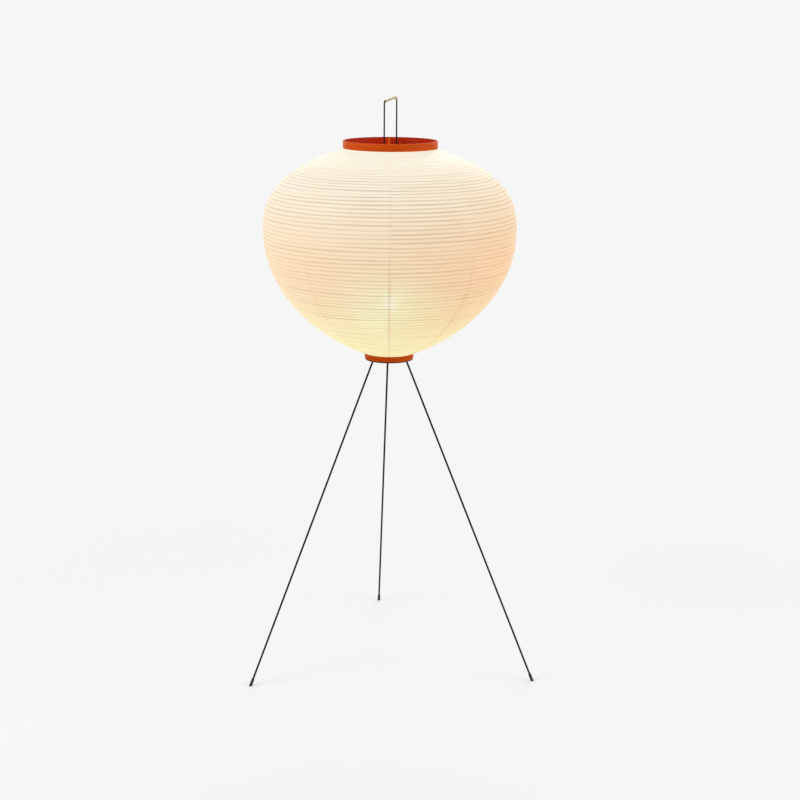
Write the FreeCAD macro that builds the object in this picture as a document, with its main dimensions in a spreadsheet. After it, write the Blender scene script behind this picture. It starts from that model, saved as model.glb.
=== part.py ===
"""Paper lantern floor lamp, in millimetres.

A paper shade on a spiral of split bamboo hangs between two bentwood rings on a wire stretcher, over
three rod legs that plug into a steel base plate.  The origin is on the floor, on the lamp's axis,
with +Z up and the back leg towards +Y.
"""
import FreeCAD, Part
import math
import os
import Sketcher

DIMENSIONS = {
    # base plate and bentwood rings
    "plate_height": (665.2, "underside of the base plate above the floor"),
    "plate_flange": (1.2, "thickness of the rim that carries the bottom ring"),
    "flange_inset": (1.2, "how far the rim stays inside the ring's outer face"),
    "plate_step": (2.0, "height of the step that centres the bottom ring"),
    "locating_gap": (0.3, "radial play between the step and the bottom ring"),
    "bottom_ring_radius": (51.8, "outer radius of the bottom ring"),
    "bottom_ring_wall": (3.6, "wall of the bottom ring"),
    "bottom_ring_height": (24.0, "height of the bottom ring"),
    "bottom_ring_shows": (12.6, "part of it left bare under the paper"),
    "top_ring_radius": (98.2, "outer radius of the top ring"),
    "top_ring_wall": (3.0, "wall of the top ring"),
    "top_ring_height": (26.0, "height of the top ring"),
    "top_ring_shows": (15.4, "part of it left bare above the paper"),
    "ring_chamfer": (1.0, "broken edge on the rings"),
    "lap_thickness": (1.4, "end of the bent strip where it laps inside the top ring"),
    "lap_angle": (34.0, "how far the lap runs round the ring, in degrees"),
    "lap_bearing": (86.5, "where the lap starts, from +X, in degrees"),
    # paper shade
    "shade_radius": (265.1, "largest radius of the paper, at a rib"),
    "shade_height": (430.0, "from the paper's bottom edge to its top edge"),
    "girth_height": (259.6, "height of the largest radius above the bottom edge"),
    "upper_fullness": (2.62, "power that rounds the upper half against height"),
    "upper_taper": (1.45, "power that rounds the upper half against radius"),
    "lower_fullness": (2.01, "the same for the lower half"),
    "lower_taper": (1.52, "the same for the lower half"),
    "paper_wall": (0.8, "thickness of the paper skin"),
    "paper_collar": (2.4, "upright edge of the paper where it is glued to a ring"),
    "glue_gap": (0.3, "film between the paper and a ring"),
    "paper_bays": (16, "straight bays that make up the paper's outline"),
    "rib_turns": (18, "turns of the bamboo, one for every four of the real strip"),
    "rib_radius": (1.1, "radius of the circle round the strip's three corners"),
    "rib_gap": (0.45, "gap between the strip's line of arcs and the paper, at their joints"),
    "rib_margin": (8.0, "paper left without bamboo at each ring, along the outline"),
    # wire stretcher and handle
    "wire_radius": (1.5, "radius of the stretcher's wire"),
    "arm_offset": (40.0, "distance of each arm from the lamp's axis"),
    "arm_bearing": (68.0, "direction of the far arm from +X, in degrees"),
    "handle_rise": (88.0, "top of the handle above the top ring"),
    "handle_bend": (11.0, "bend radius of the handle's corners"),
    "grip_wall": (1.25, "thickness of the cane round the handle"),
    "cross_bar_drop": (17.0, "top of the bar across the top ring, below the ring's rim"),
    "cross_bar_width": (8.0, "width of that bar"),
    "cross_bar_thickness": (1.6, "thickness of that bar"),
    "cross_bar_seat": (1.5, "depth of the slots in the top ring for the bar's ends"),
    "eye_play": (0.15, "radial play of the bar's holes on the arms"),
    # legs
    "foot_circle": (344.4, "radius of the circle that the feet stand on"),
    "leg_circle": (40.5, "radius where the legs pass the plate's underside"),
    "leg_radius": (2.0, "radius of a leg's rod"),
    "socket_depth": (34.0, "how far a leg goes in past the plate's underside"),
    "socket_wall": (1.3, "wall of the leg sockets"),
    "socket_play": (0.1, "radial play of a leg in its socket"),
    "foot_wall": (1.2, "rubber round the foot of a leg"),
    "foot_length": (15.0, "length of the rubber foot along the leg"),
    "foot_sole": (4.0, "rubber under the end of the rod, along the leg"),
    # lampholder and lamp, for the common 27 mm screw cap
    "nipple_radius": (5.0, "radius of the threaded nipple"),
    "nipple_bore": (3.8, "radius of the nipple's bore"),
    "nipple_below": (6.5, "nipple below the plate's underside"),
    "nipple_above": (11.0, "nipple above the plate's top"),
    "nut_flats": (14.0, "lock nut across its flats"),
    "nut_height": (3.5, "height of the lock nut"),
    "inlet_radius": (3.2, "radius of the bushing's bore, for the cord"),
    "bushing_length": (12.0, "length of the bushing in the nipple"),
    "holder_radius": (18.5, "outer radius of the lampholder"),
    "holder_wall": (2.0, "wall of the lampholder's cap"),
    "holder_neck": (12.0, "radius of the lampholder's cap at its foot"),
    "holder_shoulder": (8.0, "height of the slope on the cap"),
    "cap_height": (23.0, "height of the lampholder's cap"),
    "core_foot": (15.0, "underside of the insulating core above the plate"),
    "core_height": (5.0, "thickness of the core"),
    "shell_height": (25.0, "height of the lampholder's outer shell"),
    "screw_radius": (13.6, "inner radius of the screw shell"),
    "screw_wall": (0.7, "wall of the screw shell"),
    "leaf_thickness": (1.2, "thickness of the contact leaf"),
    "leaf_length": (20.0, "length of the contact leaf"),
    "leaf_width": (6.0, "width of the contact leaf"),
    "lamp_play": (0.5, "radial play of the lamp's screw cap"),
    "lamp_cap_height": (23.5, "height of the lamp's screw cap"),
    "lamp_shoulder": (4.0, "slope at the foot of the screw cap"),
    "lamp_button": (4.5, "radius of the lamp's contact button"),
    "button_height": (2.0, "height of the contact button"),
    "glass_radius": (30.0, "radius of the lamp's glass"),
    "lamp_length": (110.0, "lamp from its contact button to its top"),
    "glass_steps": (5, "short cones that round the glass"),
}

# The bearing of each leg from +X, in degrees.
LEG_BEARINGS = {"back": 90, "left": 210, "right": 330}

# Heights and radii that follow from the dimensions.
PLATE_TOP = "(Dims.plate_height + Dims.plate_flange + Dims.plate_step)"
RING_FOOT = "(Dims.plate_height + Dims.plate_flange)"
PAPER_FOOT = f"({RING_FOOT} + Dims.bottom_ring_shows)"
PAPER_TOP = f"({PAPER_FOOT} + Dims.shade_height)"
RIM = f"({PAPER_TOP} + Dims.top_ring_shows)"
CROSS_BAR = f"({RIM} - Dims.cross_bar_drop - Dims.cross_bar_thickness)"
STRETCHER = f"({RIM} + Dims.handle_rise - Dims.wire_radius - {PLATE_TOP})"
TOP_BORE = "(Dims.top_ring_radius - Dims.top_ring_wall)"
BOTTOM_BORE = "(Dims.bottom_ring_radius - Dims.bottom_ring_wall)"
CORE_FOOT = f"({PLATE_TOP} + Dims.core_foot)"
CORE_TOP = f"({CORE_FOOT} + Dims.core_height)"
CAP_TOP = f"({PLATE_TOP} + Dims.cap_height)"
SHELL_TOP = f"({CAP_TOP} + Dims.shell_height)"
LAMP_FOOT = f"({CORE_TOP} + Dims.leaf_thickness)"
LAMP_CAP_FOOT = f"({LAMP_FOOT} + Dims.button_height)"
LAMP_CAP_TOP = f"({LAMP_CAP_FOOT} + Dims.lamp_cap_height)"
LAMP_CAP_RADIUS = "(Dims.screw_radius - Dims.lamp_play)"
LEG_TILT = "atan((Dims.foot_circle - Dims.leg_circle) / Dims.plate_height)"
PLATE_ALONG = f"(Dims.plate_height / cos({LEG_TILT}))"
LEG_BORE = "(Dims.leg_radius + Dims.socket_play)"

doc = FreeCAD.newDocument("PaperLantern")
parts = {}


def fill_sheet():
    """Write each driving dimension beside its alias."""
    sheet = doc.addObject("Spreadsheet::Sheet", "Dims")
    for row, (alias, (number, note)) in enumerate(DIMENSIONS.items(), start=1):
        sheet.set(f"A{row}", alias)
        sheet.set(f"B{row}", str(number))
        sheet.set(f"C{row}", note)
        sheet.setAlias(f"B{row}", alias)
    doc.recompute()
    return sheet


sheet = fill_sheet()


def size(formula):
    """The value of a formula of the sheet's cells."""
    return float(sheet.evalExpression(str(formula)))


def bind(obj, **formulas):
    """Bind properties to formulas; a double underscore in a name stands for a dot."""
    for name, formula in formulas.items():
        obj.setExpression(name.replace("__", "."), str(formula))
    return obj


def keep(name, obj):
    """Name a finished sub-part."""
    obj.Label = name
    parts[name] = obj
    return obj


# ---------------------------------------------------------------- sketches and bodies

def plane_of(body, role):
    return next(o for o in body.Origin.OriginFeatures if o.Role == role)


def sketch_on(body, role, name):
    sketch = body.newObject("Sketcher::SketchObject", name)
    sketch.AttachmentSupport = [(plane_of(body, role), "")]
    sketch.MapMode = "FlatFace"
    return sketch


def pin_point(sketch, curve, end, across, up):
    """Fix one end of a curve at two bound distances from the sketch's origin."""
    for kind, formula in (("DistanceX", across), ("DistanceY", up)):
        index = sketch.addConstraint(
            Sketcher.Constraint(kind, -1, 1, curve, end, size(formula)))
        sketch.setExpression(f"Constraints[{index}]", str(formula))


def outline(sketch, points):
    """A closed outline of straight lines through bound points."""
    spots = [FreeCAD.Vector(size(across), size(up), 0) for across, up in points]
    count = len(points)
    for i in range(count):
        sketch.addGeometry(Part.LineSegment(spots[i], spots[(i + 1) % count]), False)
    for i in range(count):
        sketch.addConstraint(
            Sketcher.Constraint("Coincident", i, 2, (i + 1) % count, 1))
        pin_point(sketch, i, 1, *points[i])


def revolve(body, name, points, angle="360"):
    """Turn an outline of (radius, height) points about the lamp's axis."""
    sketch = sketch_on(body, "XZ_Plane", f"{name}_outline")
    outline(sketch, points)
    turn = body.newObject("PartDesign::Revolution", f"{name}_turn")
    turn.Profile = sketch
    turn.ReferenceAxis = (sketch, ["V_Axis"])
    bind(turn, Angle=angle)
    body.Tip = turn
    return turn


def turned(name, points):
    """A turned sub-part in a body of its own."""
    body = doc.addObject("PartDesign::Body", name)
    revolve(body, name, points)
    return body


def tube_points(bore, radius, foot, top):
    return [(bore, foot), (radius, foot), (radius, top), (bore, top)]


# ---------------------------------------------------------------- solids on a sloping leg

def along_leg(obj, bearing, distance):
    """Lay an object's +Z along a leg's axis, at a distance up from the floor."""
    turn = math.radians(bearing)
    axis = FreeCAD.Vector(math.sin(turn), -math.cos(turn), 0)
    obj.Placement = FreeCAD.Placement(FreeCAD.Vector(), FreeCAD.Rotation(axis, 10))
    reach = f"(Dims.foot_circle - ({distance}) * sin({LEG_TILT}))"
    bind(obj,
         Placement__Rotation__Angle=LEG_TILT,
         Placement__Base__x=f"{reach} * cos({bearing})",
         Placement__Base__y=f"{reach} * sin({bearing})",
         Placement__Base__z=f"({distance}) * cos({LEG_TILT})")
    return obj


def leg_cylinder(name, bearing, radius, start, length):
    rod = doc.addObject("Part::Cylinder", name)
    bind(rod, Radius=radius, Height=length)
    return along_leg(rod, bearing, start)


def cut(name, base, tool):
    piece = doc.addObject("Part::Cut", name)
    piece.Base = base
    piece.Tool = tool
    return piece


def slab_below(name, bearing, circle, top):
    """A block that ends at a height, used to cut a sloping end level."""
    side = "(10 * Dims.leg_radius + Dims.foot_length)"
    slab = doc.addObject("Part::Box", name)
    bind(slab, Length=side, Width=side, Height=side,
         Placement__Base__x=f"{circle} * cos({bearing}) - {side} / 2",
         Placement__Base__y=f"{circle} * sin({bearing}) - {side} / 2",
         Placement__Base__z=f"{top} - {side}")
    return slab


def make_leg(side, bearing):
    """A rod, its rubber foot and its socket on the base plate."""
    rod_end = f"({PLATE_ALONG} + Dims.socket_depth)"
    keep(f"leg_{side}", leg_cylinder(
        f"leg_{side}", bearing, "Dims.leg_radius", "Dims.foot_sole",
        f"{rod_end} - Dims.foot_sole"))

    rubber = leg_cylinder(f"foot_rubber_{side}", bearing, "Dims.leg_radius + Dims.foot_wall",
                          "-Dims.foot_length / 2", "1.5 * Dims.foot_length")
    bore = leg_cylinder(f"foot_bore_{side}", bearing, "Dims.leg_radius", "Dims.foot_sole",
                        "Dims.foot_length")
    hollow = cut(f"foot_hollow_{side}", rubber, bore)
    floor = slab_below(f"floor_{side}", bearing, "Dims.foot_circle", 0)
    keep(f"foot_{side}", cut(f"foot_{side}", hollow, floor))

    tube = leg_cylinder(f"socket_tube_{side}", bearing, f"{LEG_BORE} + Dims.socket_wall",
                        PLATE_ALONG, "Dims.socket_depth + Dims.socket_wall")
    blind = leg_cylinder(f"socket_bore_{side}", bearing, LEG_BORE, PLATE_ALONG,
                         "Dims.socket_depth")
    open_tube = cut(f"socket_hollow_{side}", tube, blind)
    level = slab_below(f"socket_level_{side}", bearing, "Dims.leg_circle", PLATE_TOP)
    keep(f"leg_socket_{side}", cut(f"leg_socket_{side}", open_tube, level))


# ---------------------------------------------------------------- base plate and rings

def make_base_plate():
    """Turned plate with a rim and a step, pierced for the nipple and the three legs."""
    rim = "(Dims.bottom_ring_radius - Dims.flange_inset)"
    step = f"({BOTTOM_BORE} - Dims.locating_gap)"
    disc = turned("plate_disc", [
        ("Dims.nipple_radius", "Dims.plate_height"),
        (rim, "Dims.plate_height"),
        (rim, RING_FOOT),
        (step, RING_FOOT),
        (step, PLATE_TOP),
        ("Dims.nipple_radius", PLATE_TOP),
    ])
    piercings = doc.addObject("Part::MultiFuse", "leg_holes")
    piercings.Shapes = [
        leg_cylinder(f"leg_hole_{side}", bearing, LEG_BORE,
                     f"{PLATE_ALONG} - Dims.socket_depth / 2", "Dims.socket_depth")
        for side, bearing in LEG_BEARINGS.items()]
    keep("base_plate", cut("base_plate", disc, piercings))


def make_bottom_ring():
    """Bentwood ring that stands on the plate's rim, with a rounded lower edge."""
    radius = "Dims.bottom_ring_radius"
    top = f"({RING_FOOT} + Dims.bottom_ring_height)"
    keep("bottom_ring", turned("bottom_ring", [
        (BOTTOM_BORE, RING_FOOT),
        (f"{radius} - 2 * Dims.ring_chamfer", RING_FOOT),
        (radius, f"{RING_FOOT} + 2 * Dims.ring_chamfer"),
        (radius, top),
        (BOTTOM_BORE, top),
    ]))


def make_top_ring():
    """Bentwood ring with the end of its strip lapped inside it."""
    foot = f"({RIM} - Dims.top_ring_height)"
    body = doc.addObject("PartDesign::Body", "top_ring")
    revolve(body, "top_hoop", [
        (TOP_BORE, foot),
        ("Dims.top_ring_radius", foot),
        ("Dims.top_ring_radius", f"{RIM} - Dims.ring_chamfer"),
        ("Dims.top_ring_radius - Dims.ring_chamfer", RIM),
        (TOP_BORE, RIM),
    ])
    inner = f"({TOP_BORE} - Dims.lap_thickness)"
    middle = f"({TOP_BORE} + Dims.top_ring_wall / 2)"
    revolve(body, "top_lap", [
        (inner, f"{foot} + Dims.ring_chamfer"),
        (middle, f"{foot} + Dims.ring_chamfer"),
        (middle, f"{RIM} - Dims.ring_chamfer"),
        (inner, f"{RIM} - Dims.ring_chamfer"),
    ], "Dims.lap_angle")
    bind(body, Placement__Rotation__Angle="Dims.lap_bearing")
    keep("top_ring", cut("top_ring", body, crossing_bar("bar_slots")))


# ---------------------------------------------------------------- paper shade

def half_profile(ring, rise, fullness, taper, count):
    """Points (radius, height from the girth) of half the shade's outline, girth first.

    The half is a superellipse, sized so that it meets the ring at its end.
    """
    girth = size("Dims.shade_radius")
    depth = rise / (1 - (ring / girth) ** taper) ** (1 / fullness)
    points = []
    for i in range(count + 1):
        height = rise * math.sin(math.pi / 2 * i / count)
        radius = girth * (1 - (height / depth) ** fullness) ** (1 / taper)
        points.append((radius, height))
    return points


def even_points(points, count):
    """The same outline with points an equal distance apart along it."""
    walked = [0.0]
    for (r0, z0), (r1, z1) in zip(points, points[1:]):
        walked.append(walked[-1] + math.hypot(r1 - r0, z1 - z0))
    spaced = []
    j = 0
    for i in range(count + 1):
        goal = walked[-1] * i / count
        while j < len(points) - 2 and walked[j + 1] < goal:
            j += 1
        share = (goal - walked[j]) / (walked[j + 1] - walked[j])
        (r0, z0), (r1, z1) = points[j], points[j + 1]
        spaced.append((r0 + share * (r1 - r0), z0 + share * (z1 - z0)))
    return spaced


def paper_outline():
    """Corners of the paper's outer face as (radius, height), from the bottom ring to the top."""
    girth = size(f"{PAPER_FOOT} + Dims.girth_height")
    wall = size("Dims.glue_gap + Dims.paper_wall")
    samples = 300
    lower = half_profile(size("Dims.bottom_ring_radius") + wall, size("Dims.girth_height"),
                         size("Dims.lower_fullness"), size("Dims.lower_taper"), samples)
    upper = half_profile(size("Dims.top_ring_radius") + wall,
                         size("Dims.shade_height - Dims.girth_height - Dims.paper_collar"),
                         size("Dims.upper_fullness"), size("Dims.upper_taper"), samples)
    line = [(r, girth - z) for r, z in reversed(lower)] + [(r, girth + z) for r, z in upper[1:]]
    return even_points(line, int(size("Dims.paper_bays")))


def inset(points, depth):
    """The inner points of an outline, moved square to it towards the lamp's axis."""
    moved = []
    for i in range(1, len(points) - 1):
        (r0, z0), (r1, z1) = points[i - 1], points[i + 1]
        length = math.hypot(r1 - r0, z1 - z0)
        r, z = points[i]
        moved.append((r - depth * (z1 - z0) / length, z + depth * (r1 - r0) / length))
    return moved


def make_paper_shade():
    """Paper skin in straight bays, with an upright collar round each ring."""
    wall = size("Dims.paper_wall")
    collar = size("Dims.paper_collar")
    outer = paper_outline()
    foot, top = outer[0], outer[-1]
    section = [
        (foot[0] - wall, foot[1]),
        *outer,
        (top[0], top[1] + collar),
        (top[0] - wall, top[1] + collar),
        (top[0] - wall, top[1] - wall),
        *reversed(inset(outer, wall)),
        (foot[0] - wall, foot[1] + collar),
    ]
    corners = [FreeCAD.Vector(r, 0, z) for r, z in section]
    face = Part.Face(Part.makePolygon(corners + corners[:1]))
    shade = doc.addObject("Part::Feature", "paper_shade")
    shade.Shape = face.revolve(FreeCAD.Vector(), FreeCAD.Vector(0, 0, 1), 360)
    keep("paper_shade", shade)


# ---------------------------------------------------------------- bamboo spiral

def spiral_points(turns, per_turn):
    """Points of the strip's centre line, climbing evenly inside the paper."""
    outer = paper_outline()
    depth = size("Dims.paper_wall + Dims.rib_gap + Dims.rib_radius")
    line = inset(outer, depth)
    margin = size("Dims.rib_margin")
    for end, beside in ((0, 1), (-1, -2)):
        # carry the line on to its margin from each ring, parallel to the first or last bay
        (r0, z0), (r1, z1) = outer[end], outer[beside]
        share = 1 - margin / math.hypot(r1 - r0, z1 - z0)
        r, z = line[end]
        line.insert(0 if end == 0 else len(line),
                    (r + share * (r0 - r1), z + share * (z0 - z1)))
    spots = even_points(line, turns * per_turn)
    step = 2 * math.pi / per_turn
    return [FreeCAD.Vector(r * math.cos(i * step), r * math.sin(i * step), z)
            for i, (r, z) in enumerate(spots)]


def arc_through(start, end, tangent, at_end=False):
    """The arc between two points with a given direction at one of them."""
    chord = end - start
    angle = chord.getAngle(tangent)
    reach = chord.Length / 2 / math.cos(angle)
    corner = end - tangent * reach if at_end else start + tangent * reach
    middle = (start + end) * 0.5
    share = math.tan(angle / 2) / math.tan(angle)
    return Part.Arc(start, middle + (corner - middle) * share, end).toShape()


def biarc(start, end, leaving, arriving):
    """Two arcs that join two points smoothly, with given directions at both."""
    chord = end - start
    both = leaving + arriving
    spread = 2 * (1 - leaving.dot(arriving))
    along = chord.dot(both)
    reach = (math.sqrt(along ** 2 + spread * chord.dot(chord)) - along) / spread
    joint = (start + end + (leaving - arriving) * reach) * 0.5
    return [arc_through(start, joint, leaving), arc_through(joint, end, arriving, True)]


def make_bamboo_ribbing():
    """One split strip wound up inside the paper, as a pipe shell on quarter-turn biarcs."""
    turns = int(size("Dims.rib_turns"))
    fine = 16
    per_turn = 4
    spots = spiral_points(turns, per_turn * fine)
    knots = range(0, len(spots), fine)
    tangents = []
    for i in knots:
        direction = spots[min(i + 1, len(spots) - 1)] - spots[max(i - 1, 0)]
        tangents.append(direction.normalize())
    arcs = []
    for n in range(len(knots) - 1):
        arcs += biarc(spots[knots[n]], spots[knots[n + 1]], tangents[n], tangents[n + 1])
    path = Part.Wire(arcs)
    outward = FreeCAD.Vector(spots[0].x, spots[0].y, 0).normalize()
    upward = outward.cross(tangents[0]).normalize()
    outward = tangents[0].cross(upward)
    radius = size("Dims.rib_radius")
    corners = [spots[0] + (outward * math.cos(a) + upward * math.sin(a)) * radius
               for a in (math.radians(60), math.radians(180), math.radians(300))]
    section = Part.makePolygon(corners + corners[:1])
    strip = doc.addObject("Part::Feature", "bamboo_ribbing")
    strip.Shape = path.makePipeShell([section], True, False)
    keep("bamboo_ribbing", strip)
    pitch = min((spots[i + per_turn * fine] - spots[i]).Length
                for i in range(len(spots) - per_turn * fine))
    print(f"bamboo: {path.Length:.0f} mm of strip, {strip.Shape.Volume:.0f} mm3 against "
          f"{path.Length * radius ** 2 * math.sqrt(27) / 4:.0f}, least gap between turns "
          f"{pitch - 2 * radius:.2f} mm")


# ---------------------------------------------------------------- stretcher and handle

def face_arms(obj, height):
    """Turn a piece drawn in the XZ plane to the arms' bearing, at a height."""
    return bind(obj, Placement__Rotation__Angle="Dims.arm_bearing", Placement__Base__z=height)


def circle_sketch(body, role, name, across, radius):
    """A circle on a plane of the body, its centre a distance out on the plane's first axis."""
    sketch = sketch_on(body, role, name)
    centre = FreeCAD.Vector(size(across), 0, 0)
    sketch.addGeometry(Part.Circle(centre, FreeCAD.Vector(0, 0, 1), size(radius)), False)
    sketch.addConstraint(Sketcher.Constraint("PointOnObject", 0, 3, -1))
    for constraint, formula in (
            (Sketcher.Constraint("Radius", 0, size(radius)), radius),
            (Sketcher.Constraint("DistanceX", -1, 1, 0, 3, size(across)), across)):
        index = sketch.addConstraint(constraint)
        sketch.setExpression(f"Constraints[{index}]", formula)
    return sketch


def sweep(body, name, profile, path):
    """Carry a section along every curve of a path."""
    pipe = body.newObject("PartDesign::AdditivePipe", name)
    pipe.Profile = profile
    pipe.Spine = (path, [f"Edge{i + 1}" for i in range(path.GeometryCount)])
    body.Tip = pipe


def make_stretcher():
    """One wire bent to a long staple: two upright arms and the handle's bar."""
    arm, bend, top = "Dims.arm_offset", "Dims.handle_bend", STRETCHER
    body = doc.addObject("PartDesign::Body", "stretcher")
    profile = circle_sketch(body, "XY_Plane", "wire_section", arm, "Dims.wire_radius")
    path = sketch_on(body, "XZ_Plane", "wire_path")
    a, r, h = size(arm), size(bend), size(top)
    vector = FreeCAD.Vector
    corner = math.sqrt(0.5) * r
    path.addGeometry([
        Part.LineSegment(vector(a, 0, 0), vector(a, h - r, 0)),
        Part.Arc(vector(a, h - r, 0), vector(a - r + corner, h - r + corner, 0),
                 vector(a - r, h, 0)),
        Part.LineSegment(vector(a - r, h, 0), vector(r - a, h, 0)),
        Part.Arc(vector(r - a, h, 0), vector(r - a - corner, h - r + corner, 0),
                 vector(-a, h - r, 0)),
        Part.LineSegment(vector(-a, h - r, 0), vector(-a, 0, 0)),
    ], False)
    pin_point(path, 0, 2, arm, f"{top} - {bend}")
    pin_point(path, 2, 1, f"{arm} - {bend}", top)
    pin_point(path, 2, 2, f"{bend} - {arm}", top)
    pin_point(path, 4, 1, f"0 - {arm}", f"{top} - {bend}")
    path.addConstraint(Sketcher.Constraint("Vertical", 0))
    path.addConstraint(Sketcher.Constraint("Vertical", 4))
    path.addConstraint(Sketcher.Constraint("PointOnObject", 0, 1, -1))
    path.addConstraint(Sketcher.Constraint("PointOnObject", 4, 2, -1))
    # an arc drawn through three points runs anticlockwise, so its ends are ordered that way
    path.addConstraint(Sketcher.Constraint("Tangent", 0, 2, 1, 1))
    path.addConstraint(Sketcher.Constraint("Coincident", 1, 2, 2, 1))
    path.addConstraint(Sketcher.Constraint("Tangent", 2, 2, 3, 1))
    path.addConstraint(Sketcher.Constraint("Coincident", 3, 2, 4, 1))
    sweep(body, "wire", profile, path)
    face_arms(body, PLATE_TOP)
    keep("stretcher", body)


def make_grip():
    """Cane sleeve on the straight of the handle's bar."""
    half = "(Dims.arm_offset - Dims.handle_bend)"
    height = f"({PLATE_TOP} + {STRETCHER})"
    cane = lying_rod("grip_cane", "Dims.wire_radius + Dims.grip_wall", f"-{half}", half, height)
    wire = lying_rod("grip_wire", "Dims.wire_radius", f"-{half}", half, height)
    keep("handle_grip", cut("handle_grip", cane, wire))


def upright(name, radius, height, distance, foot):
    """A cylinder parallel to the axis, at a signed distance from it along the arms' bearing."""
    post = doc.addObject("Part::Cylinder", name)
    return bind(post, Radius=radius, Height=height,
                Placement__Base__x=f"({distance}) * cos(Dims.arm_bearing)",
                Placement__Base__y=f"({distance}) * sin(Dims.arm_bearing)",
                Placement__Base__z=foot)


def lying_rod(name, radius, start, end, height):
    """A rod along the arms' bearing, from one signed distance to another, at a height."""
    rod = doc.addObject("Part::Cylinder", name)
    rod.Placement = FreeCAD.Placement(
        FreeCAD.Vector(), FreeCAD.Rotation(size("Dims.arm_bearing"), 90, 0))
    return bind(rod, Radius=radius, Height=f"({end}) - ({start})",
                Placement__Base__x=f"({start}) * cos(Dims.arm_bearing)",
                Placement__Base__y=f"({start}) * sin(Dims.arm_bearing)",
                Placement__Base__z=height)


def crossing_bar(name):
    """The outline of the bar across the top ring, from slot to slot along the arms' bearing."""
    reach = f"({TOP_BORE} + Dims.cross_bar_seat)"
    half = "Dims.cross_bar_width / 2"
    bar = doc.addObject("Part::Box", name)
    return bind(bar, Length=f"2 * {reach}", Width="Dims.cross_bar_width",
                Height="Dims.cross_bar_thickness",
                Placement__Rotation__Angle="Dims.arm_bearing",
                Placement__Base__x=f"{half} * sin(Dims.arm_bearing) - {reach} * cos(Dims.arm_bearing)",
                Placement__Base__y=f"-{half} * cos(Dims.arm_bearing) - {reach} * sin(Dims.arm_bearing)",
                Placement__Base__z=CROSS_BAR)


def make_cross_bar():
    """Flat bar set in the top ring, with a hole that slides on each arm."""
    holes = doc.addObject("Part::MultiFuse", "arm_holes")
    holes.Shapes = [
        upright(f"arm_hole_{side}", "Dims.wire_radius + Dims.eye_play",
                "3 * Dims.cross_bar_thickness", f"{sign} * Dims.arm_offset",
                f"{CROSS_BAR} - Dims.cross_bar_thickness")
        for side, sign in (("far", 1), ("near", -1))]
    keep("cross_bar", cut("cross_bar", crossing_bar("bar_blank"), holes))


# ---------------------------------------------------------------- lampholder and lamp

def make_nipple():
    """Threaded nipple through the plate, with its lock nut and the bushing for the cord."""
    foot = "(Dims.plate_height - Dims.nipple_below)"
    keep("nipple", turned("nipple", tube_points(
        "Dims.nipple_bore", "Dims.nipple_radius", foot, f"{PLATE_TOP} + Dims.nipple_above")))
    keep("cord_bushing", turned("cord_bushing", tube_points(
        "Dims.inlet_radius", "Dims.nipple_bore", foot, f"{foot} + Dims.bushing_length")))
    hexagon = doc.addObject("Part::Prism", "nut_hexagon")
    bind(hexagon, Circumradius="Dims.nut_flats / 2 / cos(30)", Height="Dims.nut_height",
         Placement__Base__z="Dims.plate_height - Dims.nut_height")
    hole = doc.addObject("Part::Cylinder", "nut_thread")
    bind(hole, Radius="Dims.nipple_radius", Height="2 * Dims.nut_height",
         Placement__Base__z="Dims.plate_height - 1.5 * Dims.nut_height")
    keep("lock_nut", cut("lock_nut", hexagon, hole))


def make_lampholder():
    """Cap, core, contact leaf, screw shell and outer shell, stacked on the plate."""
    nipple, outer = "Dims.nipple_radius", "Dims.holder_radius"
    cavity = "(Dims.holder_radius - Dims.holder_wall)"
    floor = f"({PLATE_TOP} + Dims.nipple_above)"
    keep("holder_cap", turned("holder_cap", [
        (nipple, PLATE_TOP),
        ("Dims.holder_neck", PLATE_TOP),
        (outer, f"{PLATE_TOP} + Dims.holder_shoulder"),
        (outer, CAP_TOP),
        (cavity, CAP_TOP),
        (cavity, floor),
        (nipple, floor),
    ]))
    core = doc.addObject("Part::Cylinder", "holder_core")
    bind(core, Radius=cavity, Height="Dims.core_height", Placement__Base__z=CORE_FOOT)
    keep("holder_core", core)
    leaf = doc.addObject("Part::Box", "contact_leaf")
    bind(leaf, Length="Dims.leaf_length", Width="Dims.leaf_width", Height="Dims.leaf_thickness",
         Placement__Base__x="-Dims.leaf_length / 2", Placement__Base__y="-Dims.leaf_width / 2",
         Placement__Base__z=CORE_TOP)
    keep("contact_leaf", leaf)
    sleeve = "(Dims.screw_radius + Dims.screw_wall)"
    keep("screw_shell", turned("screw_shell", tube_points(
        "Dims.screw_radius", sleeve, CORE_TOP, SHELL_TOP)))
    keep("holder_shell", turned("holder_shell", tube_points(sleeve, outer, CAP_TOP, SHELL_TOP)))


def make_lamp():
    """Glass, screw cap and contact button; the glass is a ball on a tapered neck."""
    button = doc.addObject("Part::Cylinder", "lamp_button")
    bind(button, Radius="Dims.lamp_button", Height="Dims.button_height",
         Placement__Base__z=LAMP_FOOT)
    keep("lamp_button", button)
    keep("lamp_cap", turned("lamp_cap", [
        ("0", LAMP_CAP_FOOT),
        (f"{LAMP_CAP_RADIUS} - Dims.lamp_shoulder", LAMP_CAP_FOOT),
        (LAMP_CAP_RADIUS, f"{LAMP_CAP_FOOT} + Dims.lamp_shoulder"),
        (LAMP_CAP_RADIUS, LAMP_CAP_TOP),
        ("0", LAMP_CAP_TOP),
    ]))
    centre = f"({LAMP_FOOT} + Dims.lamp_length - Dims.glass_radius)"
    steps = int(size("Dims.glass_steps"))
    first = -40
    ball = [(f"Dims.glass_radius * cos({first + (90 - first) * i / steps})",
             f"{centre} + Dims.glass_radius * sin({first + (90 - first) * i / steps})")
            for i in range(steps)]
    keep("lamp_glass", turned("lamp_glass", [
        ("0", LAMP_CAP_TOP),
        (f"{LAMP_CAP_RADIUS} - 1", LAMP_CAP_TOP),
        *ball,
        ("0", f"{centre} + Dims.glass_radius"),
    ]))


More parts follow.
